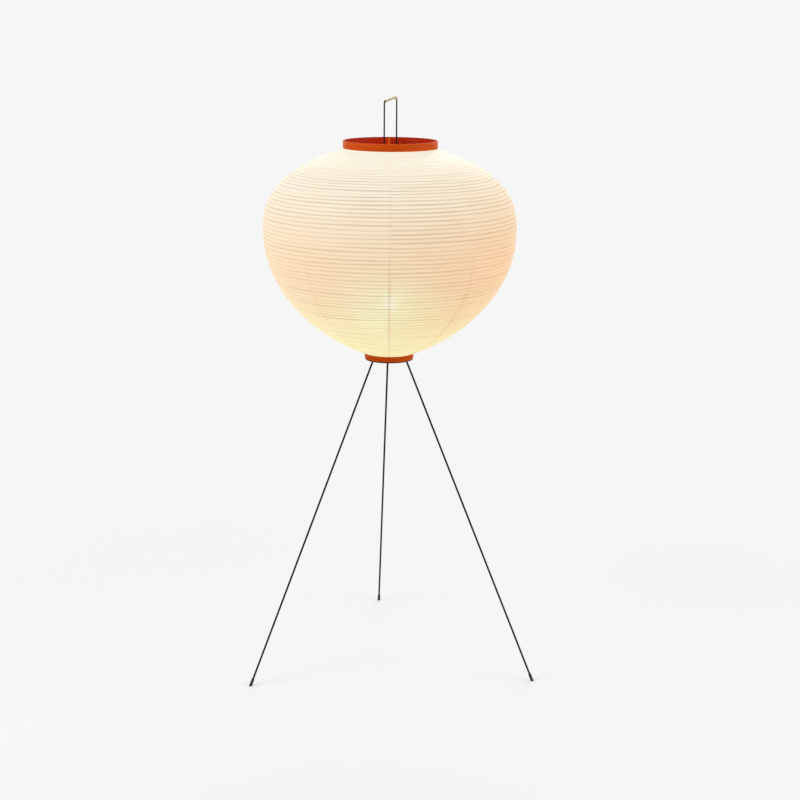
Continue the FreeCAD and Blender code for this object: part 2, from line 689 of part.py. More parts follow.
# ---------------------------------------------------------------- build, check and write

def build():
    make_base_plate()
    make_bottom_ring()
    make_paper_shade()
    make_bamboo_ribbing()
    make_top_ring()
    for side, bearing in LEG_BEARINGS.items():
        make_leg(side, bearing)
    make_stretcher()
    make_grip()
    make_cross_bar()
    make_nipple()
    make_lampholder()
    make_lamp()
    doc.recompute()


def check():
    """Stop at any feature that failed and any sub-part that isn't a sound solid."""
    for obj in doc.Objects:
        if {"Invalid", "Error"} & set(obj.State):
            raise RuntimeError(f"{obj.Label} did not build: {obj.State}")
    for name, obj in parts.items():
        shape = obj.Shape
        if shape.isNull() or not shape.isValid() or not shape.Solids:
            raise RuntimeError(f"{name} is not a sound solid")


def write():
    os.makedirs("parts", exist_ok=True)
    for name, obj in parts.items():
        obj.Shape.exportStep(f"parts/{name}.step")
        box = obj.Shape.optimalBoundingBox()
        print(f"{name:20s} {len(obj.Shape.Solids)} solid  {obj.Shape.Volume:10.1f} mm3  "
              f"z {box.ZMin:7.1f} to {box.ZMax:7.1f}")


build()
check()
write()
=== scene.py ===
import math

import bmesh
import bpy
import numpy as np
from mathutils import Matrix, Vector


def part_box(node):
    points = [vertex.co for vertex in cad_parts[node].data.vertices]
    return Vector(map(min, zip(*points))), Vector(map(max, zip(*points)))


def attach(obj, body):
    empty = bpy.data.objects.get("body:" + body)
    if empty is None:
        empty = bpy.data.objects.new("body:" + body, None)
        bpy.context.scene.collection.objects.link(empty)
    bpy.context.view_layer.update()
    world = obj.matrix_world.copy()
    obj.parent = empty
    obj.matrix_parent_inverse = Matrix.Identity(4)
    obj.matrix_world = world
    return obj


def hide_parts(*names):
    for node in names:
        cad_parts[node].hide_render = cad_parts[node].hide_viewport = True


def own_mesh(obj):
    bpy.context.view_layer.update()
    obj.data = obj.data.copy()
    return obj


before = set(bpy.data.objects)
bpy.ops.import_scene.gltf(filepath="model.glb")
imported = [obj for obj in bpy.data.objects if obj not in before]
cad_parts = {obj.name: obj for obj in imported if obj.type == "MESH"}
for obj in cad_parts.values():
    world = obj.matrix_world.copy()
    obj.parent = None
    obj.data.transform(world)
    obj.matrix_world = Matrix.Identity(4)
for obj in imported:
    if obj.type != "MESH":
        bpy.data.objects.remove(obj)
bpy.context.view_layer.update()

bl_info = {
    "name": "Paper Lantern Floor Lamp",
    "version": (1, 0, 0),
    "blender": (4, 5, 0),
    "location": "View3D > Sidebar > Lantern",
    "description": "Paper, bamboo, bentwood and steel for a lantern on three rod legs",
    "category": "Object",
}

MM = 0.001
TURN = 2 * math.pi
UP = Vector((0, 0, 1))
# Room for rounding where points are picked by their place.
NEAR = 0.01 * MM

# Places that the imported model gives, in metres.
PAPER_LOW, PAPER_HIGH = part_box("paper_shade")
TOP_LOW, TOP_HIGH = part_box("top_ring")
WIRE_LOW, WIRE_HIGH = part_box("stretcher")
GLASS_LOW, GLASS_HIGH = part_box("lamp_glass")
CAP_LOW, CAP_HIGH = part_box("lamp_cap")
SHADE_RADIUS = PAPER_HIGH.x
TOP_RADIUS = TOP_HIGH.x
BOTTOM_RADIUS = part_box("bottom_ring")[1].x
GLASS_RADIUS = GLASS_HIGH.x
CAP_RADIUS = CAP_HIGH.x
LEG_SIDES = ("back", "left", "right")


# ------------------------ sizes and colours

def length(name, description, default):
    return bpy.props.FloatProperty(
        name=name, description=description, default=default, min=0, unit="LENGTH", precision=5)


def degrees(name, description, default):
    return bpy.props.FloatProperty(
        name=name, description=description, default=math.radians(default), subtype="ANGLE")


def number(name, description, default, least):
    return bpy.props.IntProperty(name=name, description=description, default=default, min=least)


def colour(name, description, default):
    return bpy.props.FloatVectorProperty(
        name=name, description=description, default=default, min=0, max=1, size=3, subtype="COLOR")


class LanternSizes(bpy.types.PropertyGroup):
    """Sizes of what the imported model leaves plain."""
    rib_turns: number("Rib turns", "Turns of the bamboo strip", 72, 8)
    rib_sag: length("Rib sag", "How far the paper draws in between two turns", 0.75 * MM)
    girth_height: length("Girth height", "Widest place above the paper's foot", 259.6 * MM)
    paper_wall: length("Paper", "Thickness of the paper with its glue", 0.35 * MM)
    paper_inset: length("Paper inset", "How far inside the outline the paper lies", 0.5 * MM)
    gores: number("Gores", "Strips of paper round the shade", 9, 3)
    gore_lap: length("Gore lap", "How far one strip of paper laps over the next", 3.0 * MM)
    gore_bearing: degrees("Gore bearing", "Bearing of the first seam from +X", 266.5)
    bamboo_width: length("Bamboo width", "Width of the split bamboo", 1.5 * MM)
    bamboo_depth: length("Bamboo depth", "Thickness of the split bamboo", 0.9 * MM)
    ring_wall: length("Ring wall", "Thickness of the top ring's strip", 3.0 * MM)
    bottom_wall: length("Bottom ring wall", "Thickness of the bottom ring's strip", 3.6 * MM)
    ring_round: length("Ring rounding", "Rounding of the rings' edges", 0.9 * MM)
    bottom_round: length("Bottom rounding", "Rounding of the bottom ring's lower edge", 3.0 * MM)
    lap_bearing: degrees("Lap bearing", "Where the top ring's lap ends in a step, from +X", 86.5)
    lap_angle: degrees("Lap angle", "How far the lap runs round the ring", 34)
    lap_depth: length("Lap depth", "Thickness of the lapped end", 1.4 * MM)
    wire_radius: length("Wire radius", "Radius of the stretcher's wire", 1.5 * MM)
    handle_bend: length("Handle bend", "Bend radius at the handle's far corner", 11.0 * MM)
    near_bend: length("Near bend", "Bend radius at the handle's near corner", 5.0 * MM)
    near_drop: length("Near drop", "How much lower the handle's near corner is", 5.0 * MM)
    cane_width: length("Cane width", "Width of the cane round the handle", 2.5 * MM)
    cane_depth: length("Cane depth", "Thickness of the cane", 1.1 * MM)
    thread_pitch: length("Thread pitch", "Pitch of the lamp's rolled thread", 3.6 * MM)
    thread_depth: length("Thread depth", "Depth of the lamp's rolled thread", 0.5 * MM)
    nipple_radius: length("Nipple radius", "Radius of the threaded nipple", 5.0 * MM)
    holder_neck: length("Holder neck", "Radius of the lampholder's cap at its foot", 12.0 * MM)
    holder_shoulder: length("Holder shoulder", "Height of the slope on the cap", 8.0 * MM)
    holder_wall: length("Holder wall", "Wall of the lampholder's cap", 2.0 * MM)
    holder_floor: length("Holder floor", "Thickness of the cap's floor", 11.0 * MM)
    foot_length: length("Foot length", "Length of a rubber foot along its leg", 15.0 * MM)
    foot_radius: length("Foot radius", "Radius of a rubber foot", 3.2 * MM)


class LanternColours(bpy.types.PropertyGroup):
    """Colours of the finishes, as linear values."""
    paper: colour("Paper", "Paper with the lamp off", (0.425, 0.391, 0.338))
    glow_top: colour("Glow, top", "Light through the upper paper", (0.578, 0.565, 0.485))
    glow_middle: colour("Glow, middle", "Light through the paper at its widest", (0.675, 0.50, 0.315))
    glow_low: colour("Glow, foot", "Light through the lower paper", (0.74, 0.70, 0.37))
    bamboo: colour("Bamboo", "Split bamboo", (0.52, 0.36, 0.18))
    bentwood: colour("Bentwood", "Stained wood", (0.86, 0.108, 0.002))
    bentwood_dark: colour("Bentwood grain", "Pores and dark grain of the wood", (0.36, 0.032, 0.001))
    steel: colour("Black steel", "Painted rods and wire", (0.003, 0.003, 0.0033))
    cane: colour("Cane", "Split cane", (0.62, 0.56, 0.29))
    rubber: colour("Rubber", "Feet", (0.014, 0.014, 0.014))
    plastic: colour("Plastic", "Lampholder", (0.013, 0.013, 0.0135))
    zinc: colour("Zinc", "Plated fasteners", (0.60, 0.60, 0.57))
    brass: colour("Brass", "Contacts", (0.66, 0.46, 0.16))
    aluminium: colour("Aluminium", "The lamp's screw cap", (0.72, 0.72, 0.70))
    porcelain: colour("Porcelain", "The lampholder's core", (0.80, 0.78, 0.72))
    lamp: colour("Lamp", "Light of the lamp's glass", (1.0, 0.86, 0.62))


def sizes():
    return bpy.context.scene.lantern_sizes


def colours():
    return bpy.context.scene.lantern_colours


# ------------------------ selecting and finishing

def make_active(obj):
    bpy.ops.object.select_all(action="DESELECT")
    obj.select_set(True)
    bpy.context.view_layer.objects.active = obj


def edit(obj):
    """Edit one object with everything in it selected."""
    make_active(obj)
    bpy.ops.object.mode_set(mode="EDIT")
    bpy.ops.mesh.select_all(action="SELECT")


def leave_edit():
    bpy.ops.object.mode_set(mode="OBJECT")


def face_outwards(obj):
    edit(obj)
    bpy.ops.mesh.normals_make_consistent(inside=False)
    leave_edit()


def select_edges(obj, test):
    """In edit mode, select only the edges whose middle passes a test."""
    bpy.ops.mesh.select_mode(type="EDGE")
    bpy.ops.mesh.select_all(action="DESELECT")
    mesh = bmesh.from_edit_mesh(obj.data)
    for edge in mesh.edges:
        if test((edge.verts[0].co + edge.verts[1].co) / 2):
            edge.select_set(True)
    mesh.select_flush_mode()
    bmesh.update_edit_mesh(obj.data)


def apply_modifier(obj, kind, **settings):
    """Add a modifier, set it and apply it."""
    make_active(obj)
    modifier = obj.modifiers.new(kind.lower(), kind)
    for key, value in settings.items():
        setattr(modifier, key, value)
    bpy.ops.object.modifier_apply(modifier=modifier.name)


def round_edges(obj, width, segments, angle):
    """Round the edges that turn by more than an angle in degrees."""
    apply_modifier(obj, "BEVEL", width=width, segments=segments, limit_method="ANGLE",
                   angle_limit=math.radians(angle))


def keep_place(obj):
    """Put an object's place and turn into its mesh."""
    make_active(obj)
    bpy.ops.object.transform_apply(location=True, rotation=True, scale=True)


def give_finish(mesh, material):
    mesh.materials.clear()
    mesh.materials.append(material)


def settle(obj, name, material, body, node, angle=35):
    """Name a finished piece, keep its place in its mesh, and hang it on its body."""
    keep_place(obj)
    bpy.ops.object.shade_smooth_by_angle(angle=math.radians(angle))
    obj.name = name
    obj.data.name = name
    give_finish(obj.data, material)
    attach(obj, body)
    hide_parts(node)


def keep_node(name, material):
    """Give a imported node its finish."""
    give_finish(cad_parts[name].data, material)


# ------------------------ ways to make a mesh

def primitive(kind, **settings):
    """Add a primitive with nothing else selected."""
    bpy.ops.object.select_all(action="DESELECT")
    getattr(bpy.ops.mesh, f"primitive_{kind}_add")(**settings)
    return bpy.context.active_object


def new_object(name, data):
    """Put an object of some data in the scene."""
    obj = bpy.data.objects.new(name, data)
    bpy.context.scene.collection.objects.link(obj)
    return obj


def new_mesh(name, points, edges, faces):
    """A mesh object of given points, ready for edit mode."""
    mesh = bpy.data.meshes.new(name)
    mesh.from_pydata([tuple(p) for p in points], edges, faces)
    return new_object(name, mesh)


def turn_profile(name, profile, steps=96):
    """Turn an open profile of (radius, height), first and last point on or off the axis."""
    points = [(r, 0, z) for r, z in profile]
    obj = new_mesh(name, points, [(i, i + 1) for i in range(len(points) - 1)], [])
    edit(obj)
    bpy.ops.mesh.spin(steps=steps, angle=TURN, center=(0, 0, 0), axis=(0, 0, 1))
    bpy.ops.mesh.select_all(action="SELECT")
    bpy.ops.mesh.remove_doubles(threshold=1e-6)
    bpy.ops.mesh.normals_make_consistent(inside=False)
    leave_edit()
    return obj


def rolled(radius, depth, low, high, pitch, per_pitch=8):
    """Outline of a rolled thread or of rounded rings, from low to high."""
    steps = max(per_pitch, round((high - low) / pitch * per_pitch))
    found = []
    for i in range(steps + 1):
        z = low + (high - low) * i / steps
        found.append((radius - depth * (0.5 + 0.5 * math.cos(TURN * (z - low) / pitch)), z))
    return found


def grid_faces(rows, count, closed):
    """Faces between rows of points, each row open or closed to a ring."""
    return [(r * count + k, r * count + (k + 1) % count,
             (r + 1) * count + (k + 1) % count, (r + 1) * count + k)
            for r in range(rows - 1) for k in range(count if closed else count - 1)]


def sweep(name, centres, across, outward, sections):
    """Carry a section along a line; across and outward are the section's axes at each point."""
    points = [c + a * s + o * t for c, a, o, section in zip(centres, across, outward, sections)
              for s, t in section]
    count = len(sections[0])
    last = (len(centres) - 1) * count
    faces = grid_faces(len(centres), count, closed=True)
    faces += [tuple(range(count))[::-1], tuple(range(last, last + count))]
    obj = new_mesh(name, points, [], faces)
    face_outwards(obj)
    return obj


def round_section(radius, sides):
    return [(radius * math.cos(TURN * i / sides), radius * math.sin(TURN * i / sides))
            for i in range(sides)]


def flat_section(width, depth, crown):
    """A strip's section: flat inside, a little crowned outside, with broken corners."""
    half, corner = width / 2, depth * crown
    return [(-half, 0), (half, 0), (half, depth - corner), (half - corner, depth),
            (corner - half, depth), (-half, depth - corner)]


def map_points(obj, marks):
    """Store a pair of numbers per point as the piece's UV map."""
    corners = np.empty(len(obj.data.loops), int)
    obj.data.loops.foreach_get("vertex_index", corners)
    layer = obj.data.uv_layers.new(name="UVMap")
    layer.data.foreach_set("uv", np.asarray(marks)[corners].reshape(-1))


# ------------------------ shade outline

# Powers that round the two halves of the outline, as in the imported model.
UPPER_FULLNESS, UPPER_TAPER = 2.62, 1.45
LOWER_FULLNESS, LOWER_TAPER = 2.01, 1.52
OUTLINE_POINTS = 600
# A short piece of the outline, as a share of it, that gives its direction.
OUTLINE_STEP = 1e-3
# How far the outline stands off the rings, and the paper's upright collar on the top one.
RING_STAND = 1.1 * MM
COLLAR = 2.4 * MM
# How hand work wanders: waves in a turn, their slope with height, their start and their weight.
WANDER = ((2, 9.0, 0.3, 0.30), (3, -14.0, 1.9, 0.25), (5, 23.0, 4.1, 0.20),
          (7, -31.0, 2.2, 0.15), (13, 47.0, 5.3, 0.10))
# How far a rib wanders, as a share of the room between two, and the paper, in waves up the shade.
RIB_WANDER = 0.16
PAPER_WANDER = 0.5 * MM
PAPER_WAVES = 9


def half_outline(ring, rise, fullness, taper):
    """Radius and height above the girth, from the girth to a ring."""
    depth = rise / (1 - (ring / SHADE_RADIUS) ** taper) ** (1 / fullness)
    height = rise * np.sin(np.linspace(0, math.pi / 2, OUTLINE_POINTS))
    radius = SHADE_RADIUS * (1 - (height / depth) ** fullness) ** (1 / taper)
    return radius, height


def shade_outline():
    """Shares of the outline's length, with radius and height, from the bottom ring to the top."""
    girth = PAPER_LOW.z + sizes().girth_height
    low_r, low_z = half_outline(BOTTOM_RADIUS + RING_STAND, girth - PAPER_LOW.z,
                                LOWER_FULLNESS, LOWER_TAPER)
    top_r, top_z = half_outline(TOP_RADIUS + RING_STAND, PAPER_HIGH.z - COLLAR - girth,
                                UPPER_FULLNESS, UPPER_TAPER)
    radius = np.concatenate([low_r[::-1], top_r[1:]])
    height = np.concatenate([girth - low_z[::-1], girth + top_z[1:]])
    walked = np.concatenate([[0], np.cumsum(np.hypot(np.diff(radius), np.diff(height)))])
    return walked / walked[-1], radius, height


def unevenness(turns, height):
    """A smooth wander between about -1 and 1, the same after a full turn."""
    return sum(weight * np.sin(TURN * waves * turns + slope * height + start)
               for waves, slope, start, weight in WANDER)


def rib_place(phase, turns):
    """Share of the outline at a rib phase and bearing; phase counts the turns from the foot."""
    plain = (phase + turns) / sizes().rib_turns
    return plain + RIB_WANDER * unevenness(turns, plain * TURN) / sizes().rib_turns


def on_ring(turns, radius, height):
    """Points round the axis at bearings in turns."""
    bearing = TURN * turns
    return np.stack([radius * np.cos(bearing), radius * np.sin(bearing),
                     np.broadcast_to(height, bearing.shape)], axis=-1)


def shade_point(share, turns, inset):
    """Points of the shade at shares of the outline, moved square to it by an inset."""
    shares, radius, height = shade_outline()
    after, before = share + OUTLINE_STEP, share - OUTLINE_STEP
    dr = np.interp(after, shares, radius) - np.interp(before, shares, radius)
    dz = np.interp(after, shares, height) - np.interp(before, shares, height)
    size = np.hypot(dr, dz)
    return on_ring(turns, np.interp(share, shares, radius) - inset * dz / size,
                   np.interp(share, shares, height) + inset * dr / size)


def follow_collapse(piece):
    """Give the piece a mesh of its own."""
    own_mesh(piece)


# ------------------------ shader nodes

def feed(tree, socket, value):
    """Give a socket a plain value, or link it to another node's socket."""
    if isinstance(value, bpy.types.NodeSocket):
        tree.links.new(value, socket)
    else:
        socket.default_value = value


def add(tree, kind, inputs=(), **settings):
    """Add a shader node; an input is a value or another node's socket."""
    node = tree.nodes.new("ShaderNode" + kind)
    for key, value in settings.items():
        setattr(node, key, value)
    for key, value in dict(inputs).items():
        feed(tree, node.inputs[key], value)
    return node


def math_node(tree, operation, *values, clamp=False):
    return add(tree, "Math", enumerate(values), operation=operation, use_clamp=clamp).outputs[0]


def vector_node(tree, operation, *values, output="Vector"):
    return add(tree, "VectorMath", enumerate(values), operation=operation).outputs[output]


def multiply(tree, first, second, clamp=False):
    return math_node(tree, "MULTIPLY", first, second, clamp=clamp)


def mix(tree, blend, factor, first, second):
    """Mix two colours; each is a colour or a socket."""
    # a colour mix takes its factor and colours at sockets 0, 6 and 7 and gives its result at 2
    node = add(tree, "Mix", {0: factor, 6: first, 7: second}, data_type="RGBA", blend_type=blend)
    return node.outputs[2]


def remap(tree, value, low, high, to_low=0.0, to_high=1.0):
    """Ease from one value to another as the given one goes from low to high."""
    node = add(tree, "MapRange", {"Value": value, "From Min": low, "From Max": high,
                                  "To Min": to_low, "To Max": to_high},
               interpolation_type="SMOOTHSTEP")
    return node.outputs["Result"]


def noise(tree, vector, scale, detail, roughness=0.5, distortion=0.0):
    node = add(tree, "TexNoise", {"Vector": vector, "Scale": scale, "Detail": detail,
                                  "Roughness": roughness, "Distortion": distortion})
    return node.outputs["Fac"]


def opaque(rgb):
    return (*rgb, 1.0)


def scaled_colour(rgb, share):
    return opaque([c * share for c in rgb])


def tinted(tree, amount, base, tone):
    """Multiply a colour by a tone, as far as an amount says."""
    return mix(tree, "MULTIPLY", amount, base, opaque(tone))


def bump(tree, shader, height, distance, strength=1.0):
    node = add(tree, "Bump", {"Height": height, "Distance": distance, "Strength": strength})
    feed(tree, shader["Normal"], node.outputs["Normal"])


def object_vector(tree):
    return add(tree, "TexCoord").outputs["Object"]


def once(kind, name):
    """Keep one material or node group per name."""
    def wrap(maker):
        def get():
            return getattr(bpy.data, kind).get(name) or maker(name)
        return get
    return wrap


def use_group(tree, shader, group, relief, inputs):
    """Place a shared effect, give its results to a shader, and give back its colour."""
    result = add(tree, "Group", inputs, node_tree=group).outputs
    feed(tree, shader["Base Color"], result["Colour"])
    feed(tree, shader["Roughness"], result["Roughness"])
    bump(tree, shader, result["Height"], relief)
    return result["Colour"]


def new_material(name, constants):
    """A material with plain values set; gives it, its tree and its Principled shader's inputs."""
    material = bpy.data.materials.new(name)
    material.use_nodes = True
    tree = material.node_tree
    shader = tree.nodes["Principled BSDF"].inputs
    for key, value in constants.items():
        shader[key].default_value = value
    return material, tree, shader


# How much coarser the wood's bands are than its fibres, how much finer its pores, the fibres'
# part in the grain, where grain and pores begin and are full, and its roughness, light and dark.
BAND_SCALE, PORE_SCALE = 0.12, 1.6
FIBRE_PART = 0.45
GRAIN_SPAN, PORE_SPAN = (0.36, 0.66), (0.60, 0.72)
LIGHT_ROUGHNESS, DARK_ROUGHNESS = 0.34, 0.50
# Where a finish begins to be worn, and is worn fully.
WEAR_SPAN = (0.56, 0.74)
# What both shared effects put out.
RESULTS = (("Colour", "Color", None), ("Roughness", "Float", None), ("Height", "Float", None))


def new_group(name, inputs):
    """A shader node group; gives its tree, what it is given, and the sockets of its results."""
    tree = bpy.data.node_groups.new(name, "ShaderNodeTree")
    for way, sockets in (("INPUT", inputs), ("OUTPUT", RESULTS)):
        for label, kind, default in sockets:
            socket = tree.interface.new_socket(
                name=label, in_out=way, socket_type=f"NodeSocket{kind}")
            if default is not None:
                socket.default_value = default
    return tree, tree.nodes.new("NodeGroupInput").outputs, tree.nodes.new("NodeGroupOutput").inputs


@once("node_groups", "Wood Grain")
def wood_grain(name):
    """Long fibres and pores along X of a given vector."""
    tree, given, result = new_group(name, (
        ("Vector", "Vector", None), ("Fineness", "Float", 900.0), ("Stretch", "Float", 0.03),
        ("Light", "Color", (0.5, 0.3, 0.1, 1)), ("Dark", "Color", (0.2, 0.1, 0.03, 1)),
        ("Contrast", "Float", 0.6)))
    stretch = add(tree, "CombineXYZ", {"X": given["Stretch"], "Y": 1.0, "Z": 1.0}).outputs[0]
    along = vector_node(tree, "MULTIPLY", given["Vector"], stretch)
    fibres = noise(tree, along, given["Fineness"], detail=4.0, roughness=0.6)
    bands = noise(tree, along, multiply(tree, given["Fineness"], BAND_SCALE),
                  detail=3.0, roughness=0.55, distortion=0.4)
    pores = noise(tree, along, multiply(tree, given["Fineness"], PORE_SCALE), detail=1.0)
    pits = remap(tree, pores, *PORE_SPAN)
    both = math_node(tree, "ADD", multiply(tree, fibres, FIBRE_PART),
                     multiply(tree, bands, 1 - FIBRE_PART))
    darker = math_node(tree, "MAXIMUM", remap(tree, both, *GRAIN_SPAN), pits)
    rough = math_node(tree, "MULTIPLY_ADD", darker, DARK_ROUGHNESS - LIGHT_ROUGHNESS,
                      LIGHT_ROUGHNESS)
    amount = multiply(tree, darker, given["Contrast"], clamp=True)
    feed(tree, result["Colour"], mix(tree, "MIX", amount, given["Light"], given["Dark"]))
    feed(tree, result["Roughness"], rough)
    feed(tree, result["Height"], math_node(tree, "SUBTRACT", fibres, pits))
    return tree


@once("node_groups", "Fine Finish")
def fine_finish(name):
    """Slight unevenness of a coated or moulded surface: tone, gloss and a fine texture."""
    tree, given, result = new_group(name, (
        ("Vector", "Vector", None), ("Colour", "Color", (0.1, 0.1, 0.1, 1)),
        ("Worn", "Color", (0.3, 0.3, 0.3, 1)), ("Texture", "Float", 2500.0),
        ("Wear", "Float", 0.1), ("Roughness", "Float", 0.4), ("Spread", "Float", 0.12)))
    patches = noise(tree, given["Vector"], scale=60.0, detail=5.0, roughness=0.6)
    amount = multiply(tree, remap(tree, patches, *WEAR_SPAN), given["Wear"], clamp=True)
    swing = math_node(tree, "SUBTRACT", patches, 0.5)
    rough = math_node(tree, "MULTIPLY_ADD", swing, given["Spread"], given["Roughness"])
    feed(tree, result["Colour"], mix(tree, "MIX", amount, given["Colour"], given["Worn"]))
    feed(tree, result["Roughness"], rough)
    feed(tree, result["Height"], noise(tree, given["Vector"], given["Texture"], detail=2.0))
    return tree


# ------------------------ paper

# Where the light through the paper is warmest, as a share of the girth's height.
WARMEST = 0.75
# How much higher than the lamp its light shows on the paper, seen from standing height.
LAMP_RISE = 54 * MM
# The lamp behind the paper, painted as glow: half width, half height and light of a wide lobe and a
# white heart.
LAMP_LOBES = ((0.14, 0.10, (0.0, 0.13, 0.085)), (0.022, 0.030, (0.02, 0.07, 0.16)))
# Tones on the lit paper: its clouds, a painted shade that makes the +X side darker and oranger, and
# the shadows of what lies on it.
BLUSH = (1.0, 0.93, 0.85)
SIDE_SHADE_TONE = (0.97, 0.80, 0.62)
RIB_SHADOW = (0.69, 0.635, 0.56)
SEAM_SHADOW = (0.87, 0.73, 0.70)
FIBRE_SHADOW = (0.88, 0.80, 0.70)
# Tones on the sheet itself: its fibres, and the painted shadow of the bamboo behind it.
SHEET_FIBRES = (1.0, 0.93, 0.82)
SHEET_RIB_SHADOW = (0.86, 0.81, 0.73)
# Where the painted side shade begins and is full, as shares of the shade's radius.
SIDE_SHADE_SPAN = (-0.1, 0.95)
# Distances to the middle seam's plane between which the front passes into the sides.
SIDE_SPAN = (0.03, 0.20)
# How much weaker the painted side shade is at the top, and the ribs and seams are at the sides.
SIDE_SHADE_LOSS, RIB_LOSS, SEAM_LOSS = 0.55, 0.25, 0.6
# Where the paper's clouds begin and are full, and how much they show.
CLOUD_SPAN, CLOUD_SHOW = (0.35, 0.65), 0.6
# Where a rib's line is full and gone, in shares of the room between two turns, and how strongly
# the strip presses through, from thin to thick.
RIB_LINE = (0.04, 0.30)
RIB_PRESS = (0.3, 0.7, 0.25, 1.0)
# Depths below the paper's top between which the rib shadow turns faint, and deep on the
# shoulder, and the strength that it comes to.
RIB_DEPTHS = ((70 * MM, 15 * MM, 0.25), (190 * MM, 110 * MM, 1.5))
# Where a seam is full and gone, in shares of a strip's width.
SEAM_LINE = (0.006, 0.024)
# Heights above the paper's foot between which the seams fade, and what is left of them.
SEAM_HEIGHTS = (150 * MM, 280 * MM, 0.15)
# Scale and offset of the two noises that draw the fibres, half a fibre's width in the noise,
# and where a coarser noise lets the fibres through.
FIBRE_NOISES = ((55.0, (0, 0, 0)), (90.0, (3.1, 1.7, 5.2)))
FIBRE_HALF = 0.012
FIBRE_GATE = (0.50, 0.62)


def weaker(tree, value, where, loss):
    """Take a share off a value, as far as a mask says."""
    return multiply(tree, value, math_node(tree, "MULTIPLY_ADD", where, -loss, 1.0))


def light_through(tree, place, sideways, height, aside):
    """Light through the paper: cream above, peach at the girth, pale yellow by the lamp, with painted
    shade darker and oranger on the +X side.
    """
    c = colours()
    middle = PAPER_LOW.z + sizes().girth_height * WARMEST
    low = remap(tree, height, PAPER_LOW.z, middle)
    high = remap(tree, height, middle, PAPER_HIGH.z)
    glow = mix(tree, "MIX", low, opaque(c.glow_low), opaque(c.glow_middle))
    glow = mix(tree, "MIX", high, glow, opaque(c.glow_top))
    clouds = noise(tree, place, scale=9.0, detail=4.0, roughness=0.55)
    glow = tinted(tree, remap(tree, clouds, *CLOUD_SPAN, 0.0, CLOUD_SHOW), glow, BLUSH)
    behind = GLASS_HIGH.z - GLASS_RADIUS + LAMP_RISE
    off = math_node(tree, "ABSOLUTE", math_node(tree, "SUBTRACT", height, behind))
    for wide, tall, light in LAMP_LOBES:
        lobe = multiply(tree, remap(tree, aside, 0.0, wide, 1.0, 0.0),
                        remap(tree, off, 0.0, tall, 1.0, 0.0))
        glow = mix(tree, "ADD", lobe, glow, opaque(light))
    # painted shade: the +X side of the glow darker and oranger, less so at the top
    side_shade = remap(tree, sideways, *(share * SHADE_RADIUS for share in SIDE_SHADE_SPAN))
    return tinted(tree, weaker(tree, side_shade, high, SIDE_SHADE_LOSS), glow, SIDE_SHADE_TONE)


def rib_shadow(tree, uv, phase, height, sides):
    """A soft line along each turn of bamboo, darker where the strip is thick and in front."""
    from_rib = math_node(tree, "PINGPONG", phase, 0.5)
    stretched = vector_node(tree, "MULTIPLY", uv, (3.0, 1.0, 1.0))
    pressed = noise(tree, stretched, scale=1.3, detail=3.0)
    line = multiply(tree, remap(tree, from_rib, *RIB_LINE, 1.0, 0.0),
                    remap(tree, pressed, *RIB_PRESS))
    for start, end, strength in RIB_DEPTHS:
        share = remap(tree, height, PAPER_HIGH.z - start, PAPER_HIGH.z - end, 1.0, strength)
        line = multiply(tree, line, share, clamp=True)
    return weaker(tree, line, sides, RIB_LOSS)


def seam_shadow(tree, turns, height, sides):
    """Two layers of paper along each seam, clearest low down and in front."""
    shifted = math_node(tree, "SUBTRACT", turns, sizes().gore_bearing / TURN)
    gore = multiply(tree, shifted, float(sizes().gores))
    seam = remap(tree, math_node(tree, "PINGPONG", gore, 0.5), *SEAM_LINE, 1.0, 0.0)
    start, end, left = SEAM_HEIGHTS
    share = remap(tree, height, PAPER_LOW.z + start, PAPER_LOW.z + end, 1.0, left)
    return weaker(tree, multiply(tree, seam, share), sides, SEAM_LOSS)


def long_fibres(tree, place):
    """Thin wandering lines where either of two noises crosses its middle."""
    threads = []
    for scale, offset in FIBRE_NOISES:
        moved = vector_node(tree, "ADD", place, offset)
        waves = noise(tree, moved, scale, detail=1.5, roughness=0.4, distortion=1.2)
        away = math_node(tree, "ABSOLUTE", math_node(tree, "SUBTRACT", waves, 0.5))
        thread = remap(tree, away, 0.0, FIBRE_HALF, 1.0, 0.0)
        gate = remap(tree, noise(tree, moved, scale * 0.6, detail=1.0), *FIBRE_GATE)
        threads.append(multiply(tree, thread, gate))
    return math_node(tree, "MAXIMUM", *threads)


